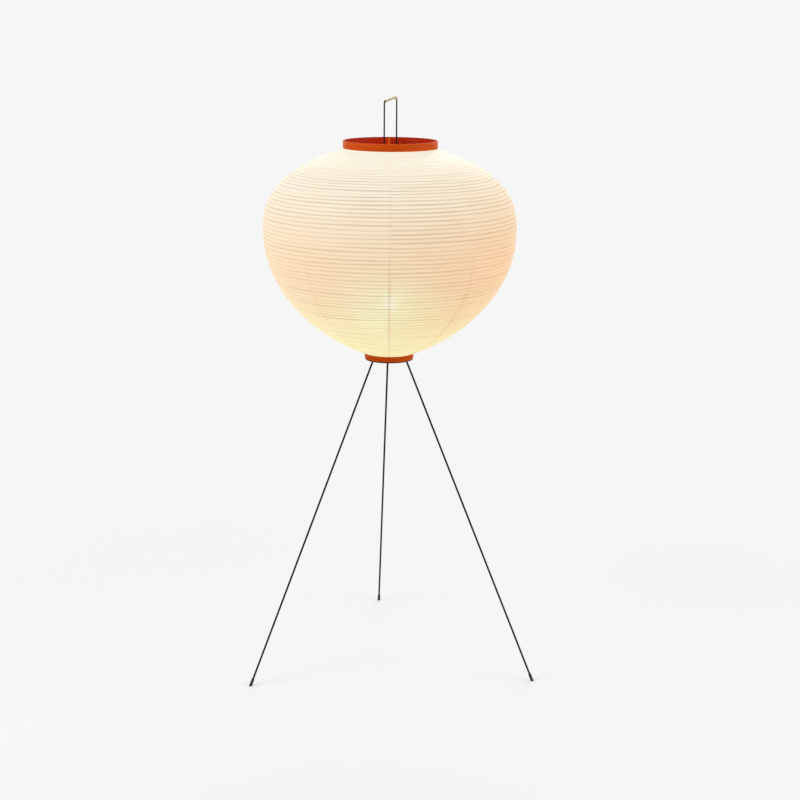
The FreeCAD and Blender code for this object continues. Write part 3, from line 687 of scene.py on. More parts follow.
@once("materials", "Lantern Paper")
def paper_material(name):
    """Handmade paper lit from inside, with the bamboo's shadow, lapped seams and long fibres."""
    material, tree, shader = new_material(name, {
        "Emission Strength": 1.0, "Roughness": 0.5, "Specular IOR Level": 0.1,
        "Transmission Weight": 0.08})
    place = object_vector(tree)
    axes = add(tree, "SeparateXYZ", {"Vector": place}).outputs
    height = axes["Z"]
    # the UV map holds the bearing in turns and the rib phase
    uv = add(tree, "UVMap", uv_map="UVMap").outputs["UV"]
    mapped = add(tree, "SeparateXYZ", {"Vector": uv}).outputs
    facing = sizes().gore_bearing
    to_side = (math.sin(facing), -math.cos(facing), 0)
    offset = vector_node(tree, "DOT_PRODUCT", place, to_side, output="Value")
    aside = math_node(tree, "ABSOLUTE", offset)
    sides = remap(tree, aside, *SIDE_SPAN)
    ribs = rib_shadow(tree, uv, mapped["Y"], height, sides)
    fibres = long_fibres(tree, place)
    glow = light_through(tree, place, axes["X"], height, aside)
    glow = tinted(tree, ribs, glow, RIB_SHADOW)
    glow = tinted(tree, seam_shadow(tree, mapped["X"], height, sides), glow, SEAM_SHADOW)
    glow = tinted(tree, multiply(tree, fibres, 0.5), glow, FIBRE_SHADOW)
    # the emission is the lamp's light through the paper, painted on
    feed(tree, shader["Emission Color"], glow)
    sheet = tinted(tree, multiply(tree, fibres, 0.6), opaque(colours().paper), SHEET_FIBRES)
    # the bamboo's painted shadow on the sheet's own colour too
    sheet = tinted(tree, multiply(tree, ribs, 0.9), sheet, SHEET_RIB_SHADOW)
    feed(tree, shader["Base Color"], sheet)
    crumple = noise(tree, place, scale=160.0, detail=5.0, roughness=0.65, distortion=0.6)
    relief = math_node(tree, "ADD", crumple, multiply(tree, fibres, 0.5))
    bump(tree, shader, relief, distance=0.35 * MM, strength=0.7)
    return material


# ------------------------ wood, cane, metal and the rest

# Painted shade that darkens the rings inside.
INNER_PAINTED_SHADE = (0.55, 0.21, 0.20)

# Coated, moulded and metal finishes: the colour they take, their worn tone, the scale of their
# fine texture, how much wear shows, their roughness and its spread, their relief, and what else
# the shader needs.
FINISHES = {
    "Black Steel": ("steel", (0.012, 0.012, 0.0125), 2600.0, 0.5, 0.45, 0.25, 0.03 * MM,
                    {"Specular IOR Level": 0.12}),
    "Rubber": ("rubber", (0.05, 0.048, 0.045), 1800.0, 0.6, 0.80, 0.20, 0.05 * MM, {}),
    "Black Plastic": ("plastic", (0.03, 0.03, 0.03), 3200.0, 0.4, 0.45, 0.15, 0.03 * MM, {}),
    "Zinc Plate": ("zinc", (0.42, 0.42, 0.44), 1500.0, 0.7, 0.35, 0.25, 0.02 * MM,
                   {"Metallic": 1.0}),
    "Brass": ("brass", (0.38, 0.24, 0.09), 1500.0, 0.6, 0.30, 0.25, 0.02 * MM,
              {"Metallic": 1.0}),
    "Rolled Aluminium": ("aluminium", (0.5, 0.5, 0.5), 1500.0, 0.5, 0.32, 0.2, 0.02 * MM,
                         {"Metallic": 1.0}),
    "Porcelain": ("porcelain", (0.62, 0.58, 0.50), 1200.0, 0.4, 0.5, 0.15, 0.02 * MM, {}),
}


def finish(name):
    """A finish of the table, made once."""
    if name in bpy.data.materials:
        return bpy.data.materials[name]
    base, worn, texture, wear, roughness, spread, relief, constants = FINISHES[name]
    material, tree, shader = new_material(name, constants)
    use_group(tree, shader, fine_finish(), relief, {
        "Vector": object_vector(tree), "Colour": opaque(getattr(colours(), base)),
        "Worn": opaque(worn), "Texture": texture, "Wear": wear, "Roughness": roughness,
        "Spread": spread})
    return material


def round_the_axis(tree, cut_bearing):
    """Distance round the lamp's axis, height and depth, with the join at a bearing."""
    turned = add(tree, "Mapping", {"Vector": object_vector(tree),
                                   "Rotation": (0, 0, math.pi - cut_bearing)}).outputs[0]
    axes = add(tree, "SeparateXYZ", {"Vector": turned}).outputs
    bearing = math_node(tree, "ARCTAN2", axes["Y"], axes["X"])
    level = vector_node(tree, "MULTIPLY", turned, (1, 1, 0))
    depth = vector_node(tree, "LENGTH", level, output="Value")
    around = multiply(tree, bearing, depth)
    return add(tree, "CombineXYZ", {"X": around, "Y": axes["Z"], "Z": depth}).outputs[0]


@once("materials", "Bentwood")
def bentwood_material(name):
    """Orange-brown stain under satin lacquer, its grain running round the ring, with painted shade
    darker inside.
    """
    material, tree, shader = new_material(name, {
        "Coat Weight": 0.03, "Coat Roughness": 0.25, "Specular IOR Level": 0.06})
    stain = use_group(tree, shader, wood_grain(), 0.08 * MM, {
        "Vector": round_the_axis(tree, sizes().lap_bearing), "Light": opaque(colours().bentwood),
        "Dark": opaque(colours().bentwood_dark), "Fineness": 700.0, "Stretch": 0.04,
        "Contrast": 0.55})
    # the painted shade inside the rings, as stored on each point
    inner = add(tree, "Attribute", attribute_name="inner").outputs["Fac"]
    feed(tree, shader["Base Color"], tinted(tree, inner, stain, INNER_PAINTED_SHADE))
    return material


@once("materials", "Split Bamboo")
def bamboo_material(name):
    """Raw split bamboo with its fibres along the strip, with a painted glow of half its colour for
    the lamp's light on it.
    """
    bamboo = colours().bamboo
    # the emission is a painted glow standing in for the lamp's light on the strip
    material, tree, shader = new_material(name, {
        "Emission Color": scaled_colour(bamboo, 0.5), "Emission Strength": 1.0})
    use_group(tree, shader, wood_grain(), 0.05 * MM, {
        "Vector": round_the_axis(tree, 0.0), "Light": opaque(bamboo), "Dark": scaled_colour(bamboo, 0.6),
        "Fineness": 1500.0, "Stretch": 0.02, "Contrast": 0.6})
    return material


@once("materials", "Cane")
def cane_material(name):
    """Split cane with its glossy skin outside and fine lengthwise lines."""
    cane = colours().cane
    material, tree, shader = new_material(name, {
        "Coat Weight": 0.04, "Coat Roughness": 0.4, "Specular IOR Level": 0.2})
    uv = add(tree, "UVMap", uv_map="UVMap").outputs["UV"]
    use_group(tree, shader, wood_grain(), 0.06 * MM, {
        "Vector": uv, "Light": opaque(cane), "Dark": scaled_colour(cane, 0.75), "Fineness": 1200.0,
        "Stretch": 0.03, "Contrast": 0.55})
    return material


@once("materials", "Opal Glass")
def lamp_material(name):
    """Frosted glass, lit."""
    material, tree, shader = new_material(name, {
        "Emission Strength": 7.0, "Base Color": (0.9, 0.88, 0.84, 1), "Roughness": 0.35})
    frost = noise(tree, object_vector(tree), scale=40.0, detail=3.0)
    frost = remap(tree, frost, 0.3, 0.7, 0.0, 0.25)
    light = mix(tree, "MIX", frost, opaque(colours().lamp), (1.0, 0.80, 0.52, 1))
    feed(tree, shader["Emission Color"], light)
    return material


# ------------------------ shade and rings

# A paper strip's grid: columns, rows per turn of bamboo, and turns left free at each ring.
GORE_COLUMNS = 20
GORE_ROWS = 6
GORE_MARGIN = 0.08
# How far a strip's last columns are raised over the next strip, where in the lap the middle one
# of them stands, and the glue's thickness.
RAISED = (0.5, 1.0, 1.0)
LAP_RISEN = 0.35
GLUE = 0.05 * MM
# The collar's height on the paper's map, in turns of bamboo.
COLLAR_TURNS = 0.05
# How much the sag varies, and how often round the shade and along its outline.
SAG_SPREAD, SAG_TURNS, SAG_WAVES = 0.35, 3, 40
# The bamboo's points per turn and the room between it and the paper.
STRIP_POINTS = 96
STRIP_ROOM = 0.1 * MM
# Points of the top ring's lap, how deep it sits in the ring, and how far from its step the painted
# inner shade takes to come in, leaving the step pale.
LAP_POINTS = 40
LAP_SUNK = 0.3 * MM
LAP_PALE = math.radians(5)


def paper_gore(index):
    """One strip of the shade's paper, drawn in between the turns and lapped over the next strip."""
    s = sizes()
    width = 1 / s.gores
    first = s.gore_bearing / TURN + index * width
    lap = s.gore_lap / (TURN * SHADE_RADIUS)
    turns = np.concatenate([first + width * np.linspace(0, 1, GORE_COLUMNS + 1),
                            [first + width + lap * LAP_RISEN, first + width + lap]])
    touch = s.paper_wall + GLUE
    raised = np.concatenate([np.zeros(GORE_COLUMNS), RAISED]) * touch
    lowest = math.ceil((GORE_MARGIN - turns[0]) * GORE_ROWS)
    highest = math.floor((s.rib_turns - GORE_MARGIN - turns[-1]) * GORE_ROWS)
    grid_turns, grid_phases = np.meshgrid(turns, np.arange(lowest, highest + 1) / GORE_ROWS)
    # the paper's ends lie on the rings: one edge at the foot, an upright collar at the top
    ends = np.ones((1, len(turns)))
    share = np.concatenate([0 * ends, rib_place(grid_phases, grid_turns), ends, ends])
    top_phase = s.rib_turns - turns[None, :]
    phase = np.concatenate([-turns[None, :], grid_phases, top_phase - COLLAR_TURNS, top_phase])
    bearing = np.broadcast_to(turns, share.shape)
    between = phase - np.floor(phase)
    drawn = 4 * between * (1 - between)
    depth = s.rib_sag * (1 + SAG_SPREAD * unevenness(bearing * SAG_TURNS, share * SAG_WAVES))
    fade = np.clip(np.minimum(share, 1 - share) * s.rib_turns, 0, 1)
    wobble = PAPER_WANDER * unevenness(bearing, share * PAPER_WAVES)
    inset = s.paper_inset + (drawn * depth - raised[None, :] + wobble) * fade
    points = shade_point(share, bearing, inset)
    points[0] = on_ring(turns, BOTTOM_RADIUS + touch, PAPER_LOW.z)
    points[-2] = on_ring(turns, TOP_RADIUS + touch, PAPER_HIGH.z - COLLAR)
    points[-1] = on_ring(turns, TOP_RADIUS + touch, PAPER_HIGH.z)
    gore = new_mesh("gore", points.reshape(-1, 3), [], grid_faces(*share.shape, closed=False))
    map_points(gore, np.stack([bearing, phase], axis=-1).reshape(-1, 2))
    apply_modifier(gore, "SOLIDIFY", thickness=s.paper_wall, offset=-1.0)
    settle(gore, f"paper_gore_{index + 1}", paper_material(), "frame", "paper_shade",
           angle=60)
    follow_collapse(gore)


def bamboo_strip():
    """The strip wound up inside the paper, in one unbroken spiral."""
    s = sizes()
    bearing = np.arange(STRIP_POINTS, (s.rib_turns - 1) * STRIP_POINTS + 1) / STRIP_POINTS
    share = rib_place(0, bearing)
    wobble = PAPER_WANDER * unevenness(bearing, share * PAPER_WAVES)
    inset = s.paper_inset + s.paper_wall + STRIP_ROOM + wobble
    face = shade_point(share, bearing, inset)
    back = shade_point(share, bearing, inset + s.bamboo_depth)
    outward = (face - back) / np.linalg.norm(face - back, axis=1)[:, None]
    along = np.gradient(face, axis=0)
    along /= np.linalg.norm(along, axis=1)[:, None]
    section = flat_section(s.bamboo_width, s.bamboo_depth, crown=0.2)
    strip = sweep("strip", back, np.cross(along, outward), outward, [section] * len(back))
    settle(strip, "bamboo_strip", bamboo_material(), "frame", "bamboo_ribbing")
    follow_collapse(strip)


def mark_inner(obj, share):
    """Store how much painted shade each point takes: a share by its place."""
    marks = obj.data.attributes.new("inner", "FLOAT", "POINT")
    marks.data.foreach_set("value", [share(v.co) for v in obj.data.vertices])


def hoop(name, body, node, radius, wall, foot_round=0.0):
    """A bent strip closed to a ring, with rounded edges; the lower outer one may be rounder."""
    low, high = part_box(node)
    ring = primitive("cylinder", vertices=192, radius=radius, depth=high.z - low.z,
                     end_fill_type="NOTHING", location=(0, 0, (low.z + high.z) / 2))
    apply_modifier(ring, "SOLIDIFY", thickness=wall, offset=-1.0)
    if foot_round:
        edit(ring)
        select_edges(ring, lambda co: co.z < low.z + NEAR and co.xy.length > radius - wall / 10)
        bpy.ops.mesh.bevel(offset=foot_round, segments=6, affect="EDGES")
        leave_edit()
    round_edges(ring, sizes().ring_round, segments=3, angle=40)
    # painted shade on the ring's inner face
    mark_inner(ring, lambda co: float(co.xy.length < radius - wall / 2))
    settle(ring, name, bentwood_material(), body, node)


def top_lap():
    """The inner end of the top ring's strip: a step at its bearing, thinned to a feather edge."""
    s = sizes()
    middle = UP * ((TOP_LOW.z + TOP_HIGH.z) / 2)
    half = (TOP_HIGH.z - TOP_LOW.z) / 2 - s.ring_round
    centres, outward, sections = [], [], []
    for i in range(LAP_POINTS + 1):
        angle = s.lap_bearing + s.lap_angle * i / LAP_POINTS
        out = Vector((math.cos(angle), math.sin(angle), 0))
        thick = s.lap_depth * min(1.0, 1.05 - i / LAP_POINTS)
        centres.append(out * (TOP_RADIUS - s.ring_wall - thick) + middle)
        outward.append(out)
        sections.append([(-half, 0), (half, 0), (half, thick + LAP_SUNK), (-half, thick + LAP_SUNK)])
    lap = sweep("lap", centres, [UP] * len(centres), outward, sections)
    round_edges(lap, 0.35 * MM, segments=2, angle=50)
    start = s.lap_bearing
    # painted inner shade on the lap, fading in from its pale step
    mark_inner(lap, lambda co: min(1.0, max(0.0, (math.atan2(co.y, co.x) - start) / LAP_PALE)))
    settle(lap, "top_hoop_lap", bentwood_material(), "shade_top", "top_ring")


# ------------------------ stretcher and legs

# Points of a bend in the wire, and in the line that the cane follows.
WIRE_BEND = 14
CANE_BEND = 24
# The part of that line under the cane: most of the far bend, and the bar to the near one.
CANE_START, CANE_END = 8, CANE_BEND + 3
# Points of one winding of the cane.
CANE_POINTS = 28


def handle_line(steps):
    """The stretcher's line, up one arm, over the handle and down the other, and the arms' side."""
    s = sizes()
    arm_bearing = math.atan2(WIRE_HIGH.y - s.wire_radius, WIRE_HIGH.x - s.wire_radius)
    reach = math.hypot(WIRE_HIGH.y - s.wire_radius, WIRE_HIGH.x - s.wire_radius)
    side = Vector((math.cos(arm_bearing), math.sin(arm_bearing), 0))
    top = WIRE_HIGH.z - s.wire_radius
    foot = UP * WIRE_LOW.z
    line = [side * reach + foot]
    for sign, bend, drop, angles in ((1, s.handle_bend, 0.0, range(steps + 1)),
                                     (-1, s.near_bend, s.near_drop, range(steps, -1, -1))):
        for i in angles:
            angle = math.pi / 2 * i / steps
            line.append(side * sign * (reach - bend + bend * math.cos(angle))
                        + Vector((0, 0, top - drop - bend + bend * math.sin(angle))))
    line.append(foot - side * reach)
    return line, side


def directions(line):
    """Unit directions of a line at each of its points."""
    found = []
    for i in range(len(line)):
        before, after = line[max(i - 1, 0)], line[min(i + 1, len(line) - 1)]
        found.append((after - before).normalized())
    return found


def stretcher():
    """The bent wire: two arms and the handle between them."""
    s = sizes()
    line, side = handle_line(WIRE_BEND)
    normal = side.cross(UP).normalized()
    outward = [normal.cross(d) for d in directions(line)]
    section = round_section(s.wire_radius, sides=24)
    wire = sweep("wire", line, [normal] * len(line), outward, [section] * len(line))
    settle(wire, "stretcher_wire", finish("Black Steel"), "frame", "stretcher")


def grip():
    """Split cane wound round the handle's bar and on round its far bend."""
    s = sizes()
    line, side = handle_line(CANE_BEND)
    bar = line[CANE_START:CANE_END]
    walked = [0.0]
    for a, b in zip(bar, bar[1:]):
        walked.append(walked[-1] + (b - a).length)
    along = directions(bar)
    normal = side.cross(UP).normalized()
    section = flat_section(s.cane_width, s.cane_depth, crown=0.15)
    centres, across, outward, marks = [], [], [], []
    for i in range(int(walked[-1] / s.cane_width * CANE_POINTS) + 1):
        distance = min(i / CANE_POINTS * s.cane_width, walked[-1] - 1e-7)
        j = max(k for k in range(len(walked) - 1) if walked[k] <= distance)
        share = (distance - walked[j]) / (walked[j + 1] - walked[j])
        forward = along[j].lerp(along[j + 1], share).normalized()
        angle = TURN * i / CANE_POINTS
        out = normal * math.cos(angle) + normal.cross(forward) * math.sin(angle)
        centres.append(bar[j].lerp(bar[j + 1], share) + out * s.wire_radius)
        across.append(forward)
        outward.append(out)
        marks += [((s.wire_radius + s.cane_depth) * angle, a + o) for a, o in section]
    cane = sweep("cane", centres, across, outward, [section] * len(centres))
    map_points(cane, marks)
    settle(cane, "cane_grip", cane_material(), "frame", "handle_grip")


def leg_line(side):
    """Foot point and upward direction of a leg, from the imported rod."""
    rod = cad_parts[f"leg_{side}"].data
    points = np.empty(len(rod.vertices) * 3)
    rod.vertices.foreach_get("co", points)
    points = points.reshape(-1, 3)
    middle = (points[:, 2].min() + points[:, 2].max()) / 2
    foot = Vector(points[points[:, 2] < middle].mean(axis=0))
    head = Vector(points[points[:, 2] > middle].mean(axis=0))
    axis = (head - foot).normalized()
    return foot - axis * (foot.z / axis.z), axis


def rubber_foot(side):
    """A moulded tip with a rounded toe and a lip, cut level where it stands."""
    origin, axis = leg_line(side)
    r, high = sizes().foot_radius, sizes().foot_length
    waist, bore, toe, seat = r * 0.94, 2.0 * MM, -4 * MM, 4 * MM
    foot = turn_profile("foot", [
        (0, toe), (r * 0.9, toe), (r, toe + 1 * MM), (r, 1.5 * MM), (waist, 1.9 * MM),
        (waist, high - 2.6 * MM), (r, high - 2.2 * MM), (r, high - 0.8 * MM),
        (r - 0.5 * MM, high), (bore, high), (bore, seat), (0, seat)], steps=48)
    turn = UP.rotation_difference(axis)
    foot.matrix_world = Matrix.Translation(origin) @ turn.to_matrix().to_4x4()
    keep_place(foot)
    edit(foot)
    bpy.ops.mesh.bisect(plane_co=(0, 0, 0), plane_no=(0, 0, 1), use_fill=True, clear_inner=True)
    leave_edit()
    face_outwards(foot)
    settle(foot, f"rubber_foot_{side}", finish("Rubber"), f"{side}_leg", f"foot_{side}")


# ------------------------ lamp and lampholder

# Where the lamp's ball starts above its neck, and the points of ball and neck.
BALL_START = math.radians(-48)
BALL_POINTS = 34
NECK_POINTS = 8
# Columns of the lampholder's shell, and how many of them share one groove.
SHELL_COLUMNS = 144
GROOVE_COLUMNS = 3


def lamp_glass():
    """A round frosted glass on a tapered neck."""
    centre = GLASS_HIGH.z - GLASS_RADIUS
    ball = [(GLASS_RADIUS * math.cos(a), centre + GLASS_RADIUS * math.sin(a))
            for a in np.linspace(BALL_START, math.pi / 2, BALL_POINTS)][:-1]
    foot = CAP_RADIUS - 0.6 * MM
    wide, top = ball[0]
    neck = []
    for i in range(NECK_POINTS):
        t = i / NECK_POINTS
        eased = t * t * (3 - 2 * t)
        neck.append((foot + (wide - foot) * eased, GLASS_LOW.z + (top - GLASS_LOW.z) * t))
    glass = turn_profile("glass", [(0, GLASS_LOW.z), *neck, *ball, (0, GLASS_HIGH.z)])
    settle(glass, "lamp_globe", lamp_material(), "lamp", "lamp_glass")


def lamp_cap():
    """The rolled screw cap, its thread a run of rounded rolls."""
    s = sizes()
    low, high = CAP_LOW.z, CAP_HIGH.z
    shoulder, plain, lip = 4 * MM, 2 * MM, 1.2 * MM
    thread = rolled(CAP_RADIUS, s.thread_depth, low + shoulder, high - plain, s.thread_pitch)
    cap = turn_profile("cap", [
        (0, low), (CAP_RADIUS - shoulder, low), *thread, (CAP_RADIUS, high - lip),
        (CAP_RADIUS, high), (0, high)])
    settle(cap, "lamp_screw_cap", finish("Rolled Aluminium"), "lamp", "lamp_cap")


def screw_shell():
    """The brass shell with the same rolled thread, and its rolled lip."""
    s = sizes()
    low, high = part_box("screw_shell")
    wall, lip = 0.4 * MM, 1 * MM
    thread = rolled(high.x, s.thread_depth, low.z, high.z - lip, s.thread_pitch)
    inside = [(r - wall, z) for r, z in reversed(thread)]
    shell = turn_profile("shell", [
        *thread, (high.x, high.z), (high.x - wall, high.z), *inside, thread[0]])
    settle(shell, "threaded_shell", finish("Brass"), "frame", "screw_shell")


def holder_cap():
    """The lampholder's moulded cap, hollow, with rounded edges."""
    s = sizes()
    low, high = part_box("holder_cap")
    radius, cavity, floor = high.x, high.x - s.holder_wall, low.z + s.holder_floor
    cap = turn_profile("cap", [
        (s.nipple_radius, low.z), (s.holder_neck, low.z), (radius, low.z + s.holder_shoulder),
        (radius, high.z), (cavity, high.z), (cavity, floor), (s.nipple_radius, floor),
        (s.nipple_radius, low.z)])
    round_edges(cap, 0.6 * MM, segments=3, angle=30)
    settle(cap, "moulded_cap", finish("Black Plastic"), "frame", "holder_cap")


def holder_shell():
    """The lampholder's outer shell, with upright grooves for the fingers."""
    low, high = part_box("holder_shell")
    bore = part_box("screw_shell")[1].x
    radius, edge = high.x, 0.7 * MM
    band_low, band_high = low.z + 4 * MM, high.z - 7 * MM
    groove_low, groove_high = band_low + edge, band_high - edge
    shell = turn_profile("shell", [
        (bore, low.z), (radius, low.z), (radius, band_low), (radius, groove_low),
        (radius, groove_high), (radius, band_high), (radius, high.z), (bore, high.z),
        (bore, low.z)], steps=SHELL_COLUMNS)
    for vertex in shell.data.vertices:
        x, y, z = vertex.co
        column = round(math.atan2(y, x) / TURN * SHELL_COLUMNS)
        in_band = groove_low - NEAR < z < groove_high + NEAR and math.hypot(x, y) > bore + edge
        if in_band and column % GROOVE_COLUMNS == 0:
            vertex.co.xy *= (radius - edge) / radius
    round_edges(shell, 0.5 * MM, segments=3, angle=60)
    settle(shell, "ribbed_shell", finish("Black Plastic"), "frame", "holder_shell",
           angle=20)


def nipple():
    """The threaded tube that holds plate and lampholder together and lets the cord in."""
    low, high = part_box("nipple")
    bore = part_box("cord_bushing")[1].x
    thread = rolled(high.x, depth=0.3 * MM, low=low.z, high=high.z, pitch=1.0 * MM, per_pitch=6)
    tube = turn_profile("nipple", [*thread, (bore, high.z), (bore, low.z), thread[0]], steps=48)
    settle(tube, "threaded_nipple", finish("Zinc Plate"), "frame", "nipple")


def lock_nut():
    """A six-sided nut with chamfered corners."""
    low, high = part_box("lock_nut")
    bore, corner, chamfer = sizes().nipple_radius, high.x, 0.5 * MM
    # the chamfering cone meets each end face inside the flats and clears the corners between
    flat, clear = corner * math.cos(TURN / 12) * 0.97, corner * 1.02
    nut = primitive("cylinder", vertices=6, radius=corner, depth=high.z - low.z,
                    location=(0, 0, (low.z + high.z) / 2), rotation=(0, 0, TURN / 12))
    cone = turn_profile("cone", [
        (0, low.z), (flat, low.z), (clear, low.z + chamfer), (clear, high.z - chamfer),
        (flat, high.z), (0, high.z)], steps=72)
    hole = turn_profile("hole", [
        (0, low.z - chamfer), (bore, low.z - chamfer), (bore, high.z + chamfer),
        (0, high.z + chamfer)], steps=72)
    for operation, tool in (("INTERSECT", cone), ("DIFFERENCE", hole)):
        apply_modifier(nut, "BOOLEAN", operation=operation, object=tool, solver="EXACT")
        bpy.data.objects.remove(tool)
    settle(nut, "hex_nut", finish("Zinc Plate"), "frame", "lock_nut", angle=20)


# ------------------------ stage

# Greys of the background and of the floor's lift, the floor's own tone, and where it fades.
BACKGROUND = 0.921
FLOOR_LIFT = 0.171
FLOOR_TONE = (0.800, 0.809, 0.828)
FLOOR_FADE = (0.55, 1.5)
WORLD_LIGHT = 0.55
# The studio's lamps: place, aim, size and power.
LIGHTS = {
    "key": ((-3.1, -1.5, 2.6), (0, 0, 0.8), 2.2, 54),
    "fill": ((3.1, -1.0, 1.8), (0, 0, 0.8), 2.2, 34),
    "back": ((0.6, 2.8, 2.6), (0, 0, 0.9), 2.0, 25),
}
# The camera: lens, sensor and shift, distance and height, bearing, tilt and roll.
LENS, SENSOR, SHIFT = 76.6, 36.0, 0.01398
CAMERA_AWAY, CAMERA_HIGH = 3.5406, 1.400
CAMERA_BEARING, CAMERA_TILT, CAMERA_ROLL = math.radians(-93.5), 0.229, math.radians(0.35)


def ray_seen(tree):
    """1 for what the camera sees, straight or in a reflection or through glass."""
    path = add(tree, "LightPath").outputs
    seen = math_node(tree, "MAXIMUM", path["Is Camera Ray"], path["Is Glossy Ray"])
    return math_node(tree, "MAXIMUM", seen, path["Is Transmission Ray"])


def grey(value):
    return opaque([value] * 3)


def stage_floor():
    """A wide pale floor that fades into the background and keeps a soft shadow."""
    floor = primitive("circle", vertices=96, radius=30, fill_type="NGON", location=(0, 0, 0))
    floor.name = "floor"
    material = bpy.data.materials.new("Floor")
    material.use_nodes = True
    tree = material.node_tree
    tree.nodes.clear()
    seen = ray_seen(tree)
    away = vector_node(tree, "LENGTH", object_vector(tree), output="Value")
    plain = add(tree, "Emission", {"Color": grey(BACKGROUND), "Strength": seen})
    matte = add(tree, "BsdfDiffuse", {"Color": opaque(FLOOR_TONE)})
    lift = add(tree, "Emission", {"Color": grey(FLOOR_LIFT), "Strength": seen})
    near = add(tree, "AddShader", {0: matte.outputs[0], 1: lift.outputs[0]})
    fade = remap(tree, away, *FLOOR_FADE)
    both = add(tree, "MixShader", {0: fade, 1: near.outputs[0], 2: plain.outputs[0]})
    add(tree, "OutputMaterial", {"Surface": both.outputs[0]})
    floor.data.materials.append(material)


def stage_world():
    """A plain background for the camera, and soft white light for the object."""
    world = bpy.data.worlds.new("Studio")
    bpy.context.scene.world = world
    world.use_nodes = True
    tree = world.node_tree
    tree.nodes.clear()
    seen = add(tree, "Background", {"Color": grey(BACKGROUND), "Strength": 1.0})
    light = add(tree, "Background", {"Color": grey(1.0), "Strength": WORLD_LIGHT})
    both = add(tree, "MixShader", {0: ray_seen(tree), 1: light.outputs[0], 2: seen.outputs[0]})
    add(tree, "OutputWorld", {"Surface": both.outputs[0]})


def soft_light(name, place, aim, size, power):
    """A round studio lamp turned to what it lights."""
    data = bpy.data.lights.new(name, "AREA")
    data.shape = "DISK"
    data.size = size
    data.energy = power
    lamp = new_object(name, data)
    lamp.location = place
    lamp.rotation_euler = (Vector(aim) - Vector(place)).to_track_quat("-Z", "Y").to_euler()


def stage_camera():
    """The photograph's view: a long lens, a little above the shade, the tripod turned slightly."""
    data = bpy.data.cameras.new("view")
    data.lens = LENS
    data.sensor_width = SENSOR
    data.shift_x = SHIFT
    camera = new_object("view", data)
    camera.location = (CAMERA_AWAY * math.cos(CAMERA_BEARING),
                       CAMERA_AWAY * math.sin(CAMERA_BEARING), CAMERA_HIGH)
    turn = (Matrix.Rotation(CAMERA_BEARING + math.pi / 2, 3, "Z")
            @ Matrix.Rotation(math.pi / 2 - CAMERA_TILT, 3, "X")
            @ Matrix.Rotation(CAMERA_ROLL, 3, "Z"))
    camera.rotation_euler = turn.to_euler()
    bpy.context.scene.camera = camera


# ------------------------ operators

class LANTERN_OT_paper(bpy.types.Operator):
    """Lay the strips of paper over the ribs"""
    bl_idname = "lantern.paper"
    bl_label = "Paper Shade"

    def execute(self, context):
        for index in range(sizes().gores):
            paper_gore(index)
        return {"FINISHED"}


class LANTERN_OT_bamboo(bpy.types.Operator):
    """Wind the bamboo strip inside the paper"""
    bl_idname = "lantern.bamboo"
    bl_label = "Bamboo Strip"

    def execute(self, context):
        bamboo_strip()
        return {"FINISHED"}


class LANTERN_OT_rings(bpy.types.Operator):
    """Bend the two wooden rings"""
    bl_idname = "lantern.rings"
    bl_label = "Bentwood Rings"

    def execute(self, context):
        s = sizes()
        hoop("top_hoop", "shade_top", "top_ring", TOP_RADIUS, s.ring_wall)
        top_lap()
        hoop("bottom_hoop", "frame", "bottom_ring", BOTTOM_RADIUS, s.bottom_wall, s.bottom_round)
        return {"FINISHED"}


class LANTERN_OT_stretcher(bpy.types.Operator):
    """Bend the stretcher's wire, wind its cane grip and finish the crossing bar"""
    bl_idname = "lantern.stretcher"
    bl_label = "Stretcher and Grip"

    def execute(self, context):
        stretcher()
        grip()
        keep_node("cross_bar", finish("Black Steel"))
        return {"FINISHED"}


class LANTERN_OT_legs(bpy.types.Operator):
    """Finish the legs and their sockets, and mould the rubber feet"""
    bl_idname = "lantern.legs"
    bl_label = "Legs and Feet"

    def execute(self, context):
        for side in LEG_SIDES:
            keep_node(f"leg_{side}", finish("Black Steel"))
            keep_node(f"leg_socket_{side}", finish("Black Steel"))
            rubber_foot(side)
        return {"FINISHED"}


class LANTERN_OT_base(bpy.types.Operator):
    """Finish the base plate and what passes through it"""
    bl_idname = "lantern.base"
    bl_label = "Base Plate"

    def execute(self, context):
        keep_node("base_plate", finish("Black Steel"))
        nipple()
        lock_nut()
        keep_node("cord_bushing", finish("Black Plastic"))
        return {"FINISHED"}


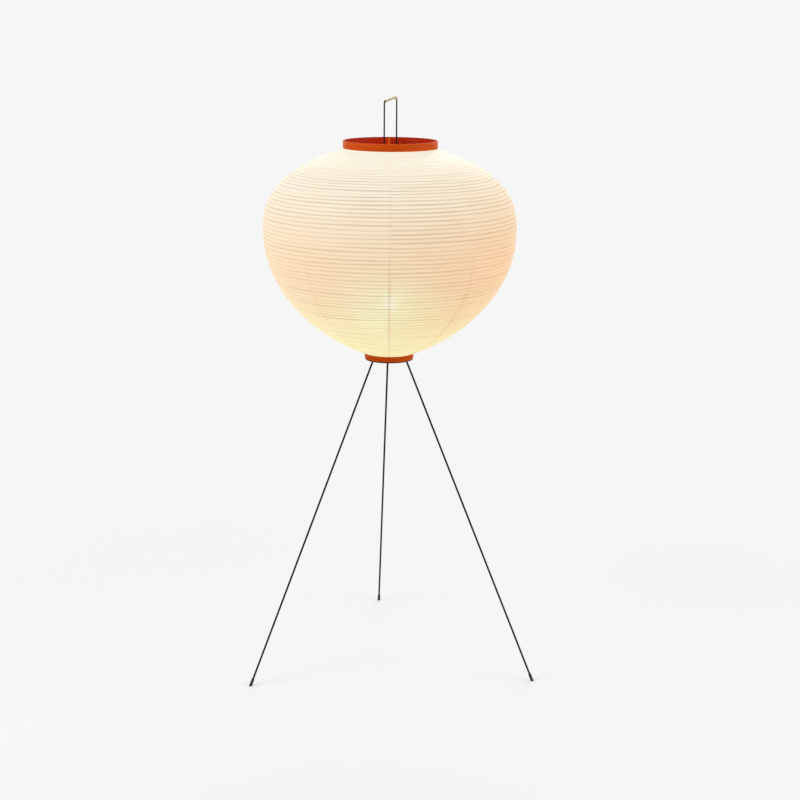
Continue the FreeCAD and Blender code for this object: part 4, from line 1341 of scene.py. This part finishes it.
class LANTERN_OT_lampholder(bpy.types.Operator):
    """Finish the lampholder's cap, shell, core and contacts"""
    bl_idname = "lantern.lampholder"
    bl_label = "Lampholder"

    def execute(self, context):
        holder_cap()
        holder_shell()
        screw_shell()
        keep_node("holder_core", finish("Porcelain"))
        keep_node("contact_leaf", finish("Brass"))
        return {"FINISHED"}


class LANTERN_OT_lamp(bpy.types.Operator):
    """Blow the lamp's glass and roll its screw cap"""
    bl_idname = "lantern.lamp"
    bl_label = "Lamp"

    def execute(self, context):
        lamp_glass()
        lamp_cap()
        keep_node("lamp_button", finish("Brass"))
        return {"FINISHED"}


class LANTERN_OT_stage(bpy.types.Operator):
    """Set the floor, the background, the lights and the camera"""
    bl_idname = "lantern.stage"
    bl_label = "Stage"

    def execute(self, context):
        stage_floor()
        stage_world()
        for name, settings in LIGHTS.items():
            soft_light(name, *settings)
        stage_camera()
        context.scene.view_settings.view_transform = "Standard"
        return {"FINISHED"}


PIECES = (LANTERN_OT_paper, LANTERN_OT_bamboo, LANTERN_OT_rings, LANTERN_OT_stretcher,
          LANTERN_OT_legs, LANTERN_OT_base, LANTERN_OT_lampholder, LANTERN_OT_lamp,
          LANTERN_OT_stage)


class LANTERN_PT_panel(bpy.types.Panel):
    """Lists the lantern's pieces in the sidebar"""
    bl_idname = "LANTERN_PT_panel"
    bl_label = "Paper Lantern"
    bl_space_type = "VIEW_3D"
    bl_region_type = "UI"
    bl_category = "Lantern"

    def draw(self, context):
        for piece in PIECES:
            self.layout.operator(piece.bl_idname)
        for group in (context.scene.lantern_sizes, context.scene.lantern_colours):
            box = self.layout.box()
            for name in group.__annotations__:
                box.prop(group, name)


CLASSES = (LanternSizes, LanternColours, *PIECES, LANTERN_PT_panel)


def register():
    for cls in CLASSES:
        bpy.utils.register_class(cls)
    bpy.types.Scene.lantern_sizes = bpy.props.PointerProperty(type=LanternSizes)
    bpy.types.Scene.lantern_colours = bpy.props.PointerProperty(type=LanternColours)


def unregister():
    del bpy.types.Scene.lantern_colours
    del bpy.types.Scene.lantern_sizes
    for cls in reversed(CLASSES):
        bpy.utils.unregister_class(cls)


def main():
    register()
    for piece in PIECES:
        getattr(bpy.ops.lantern, piece.bl_idname.split(".")[1])()


if __name__ == "__main__":
    main()
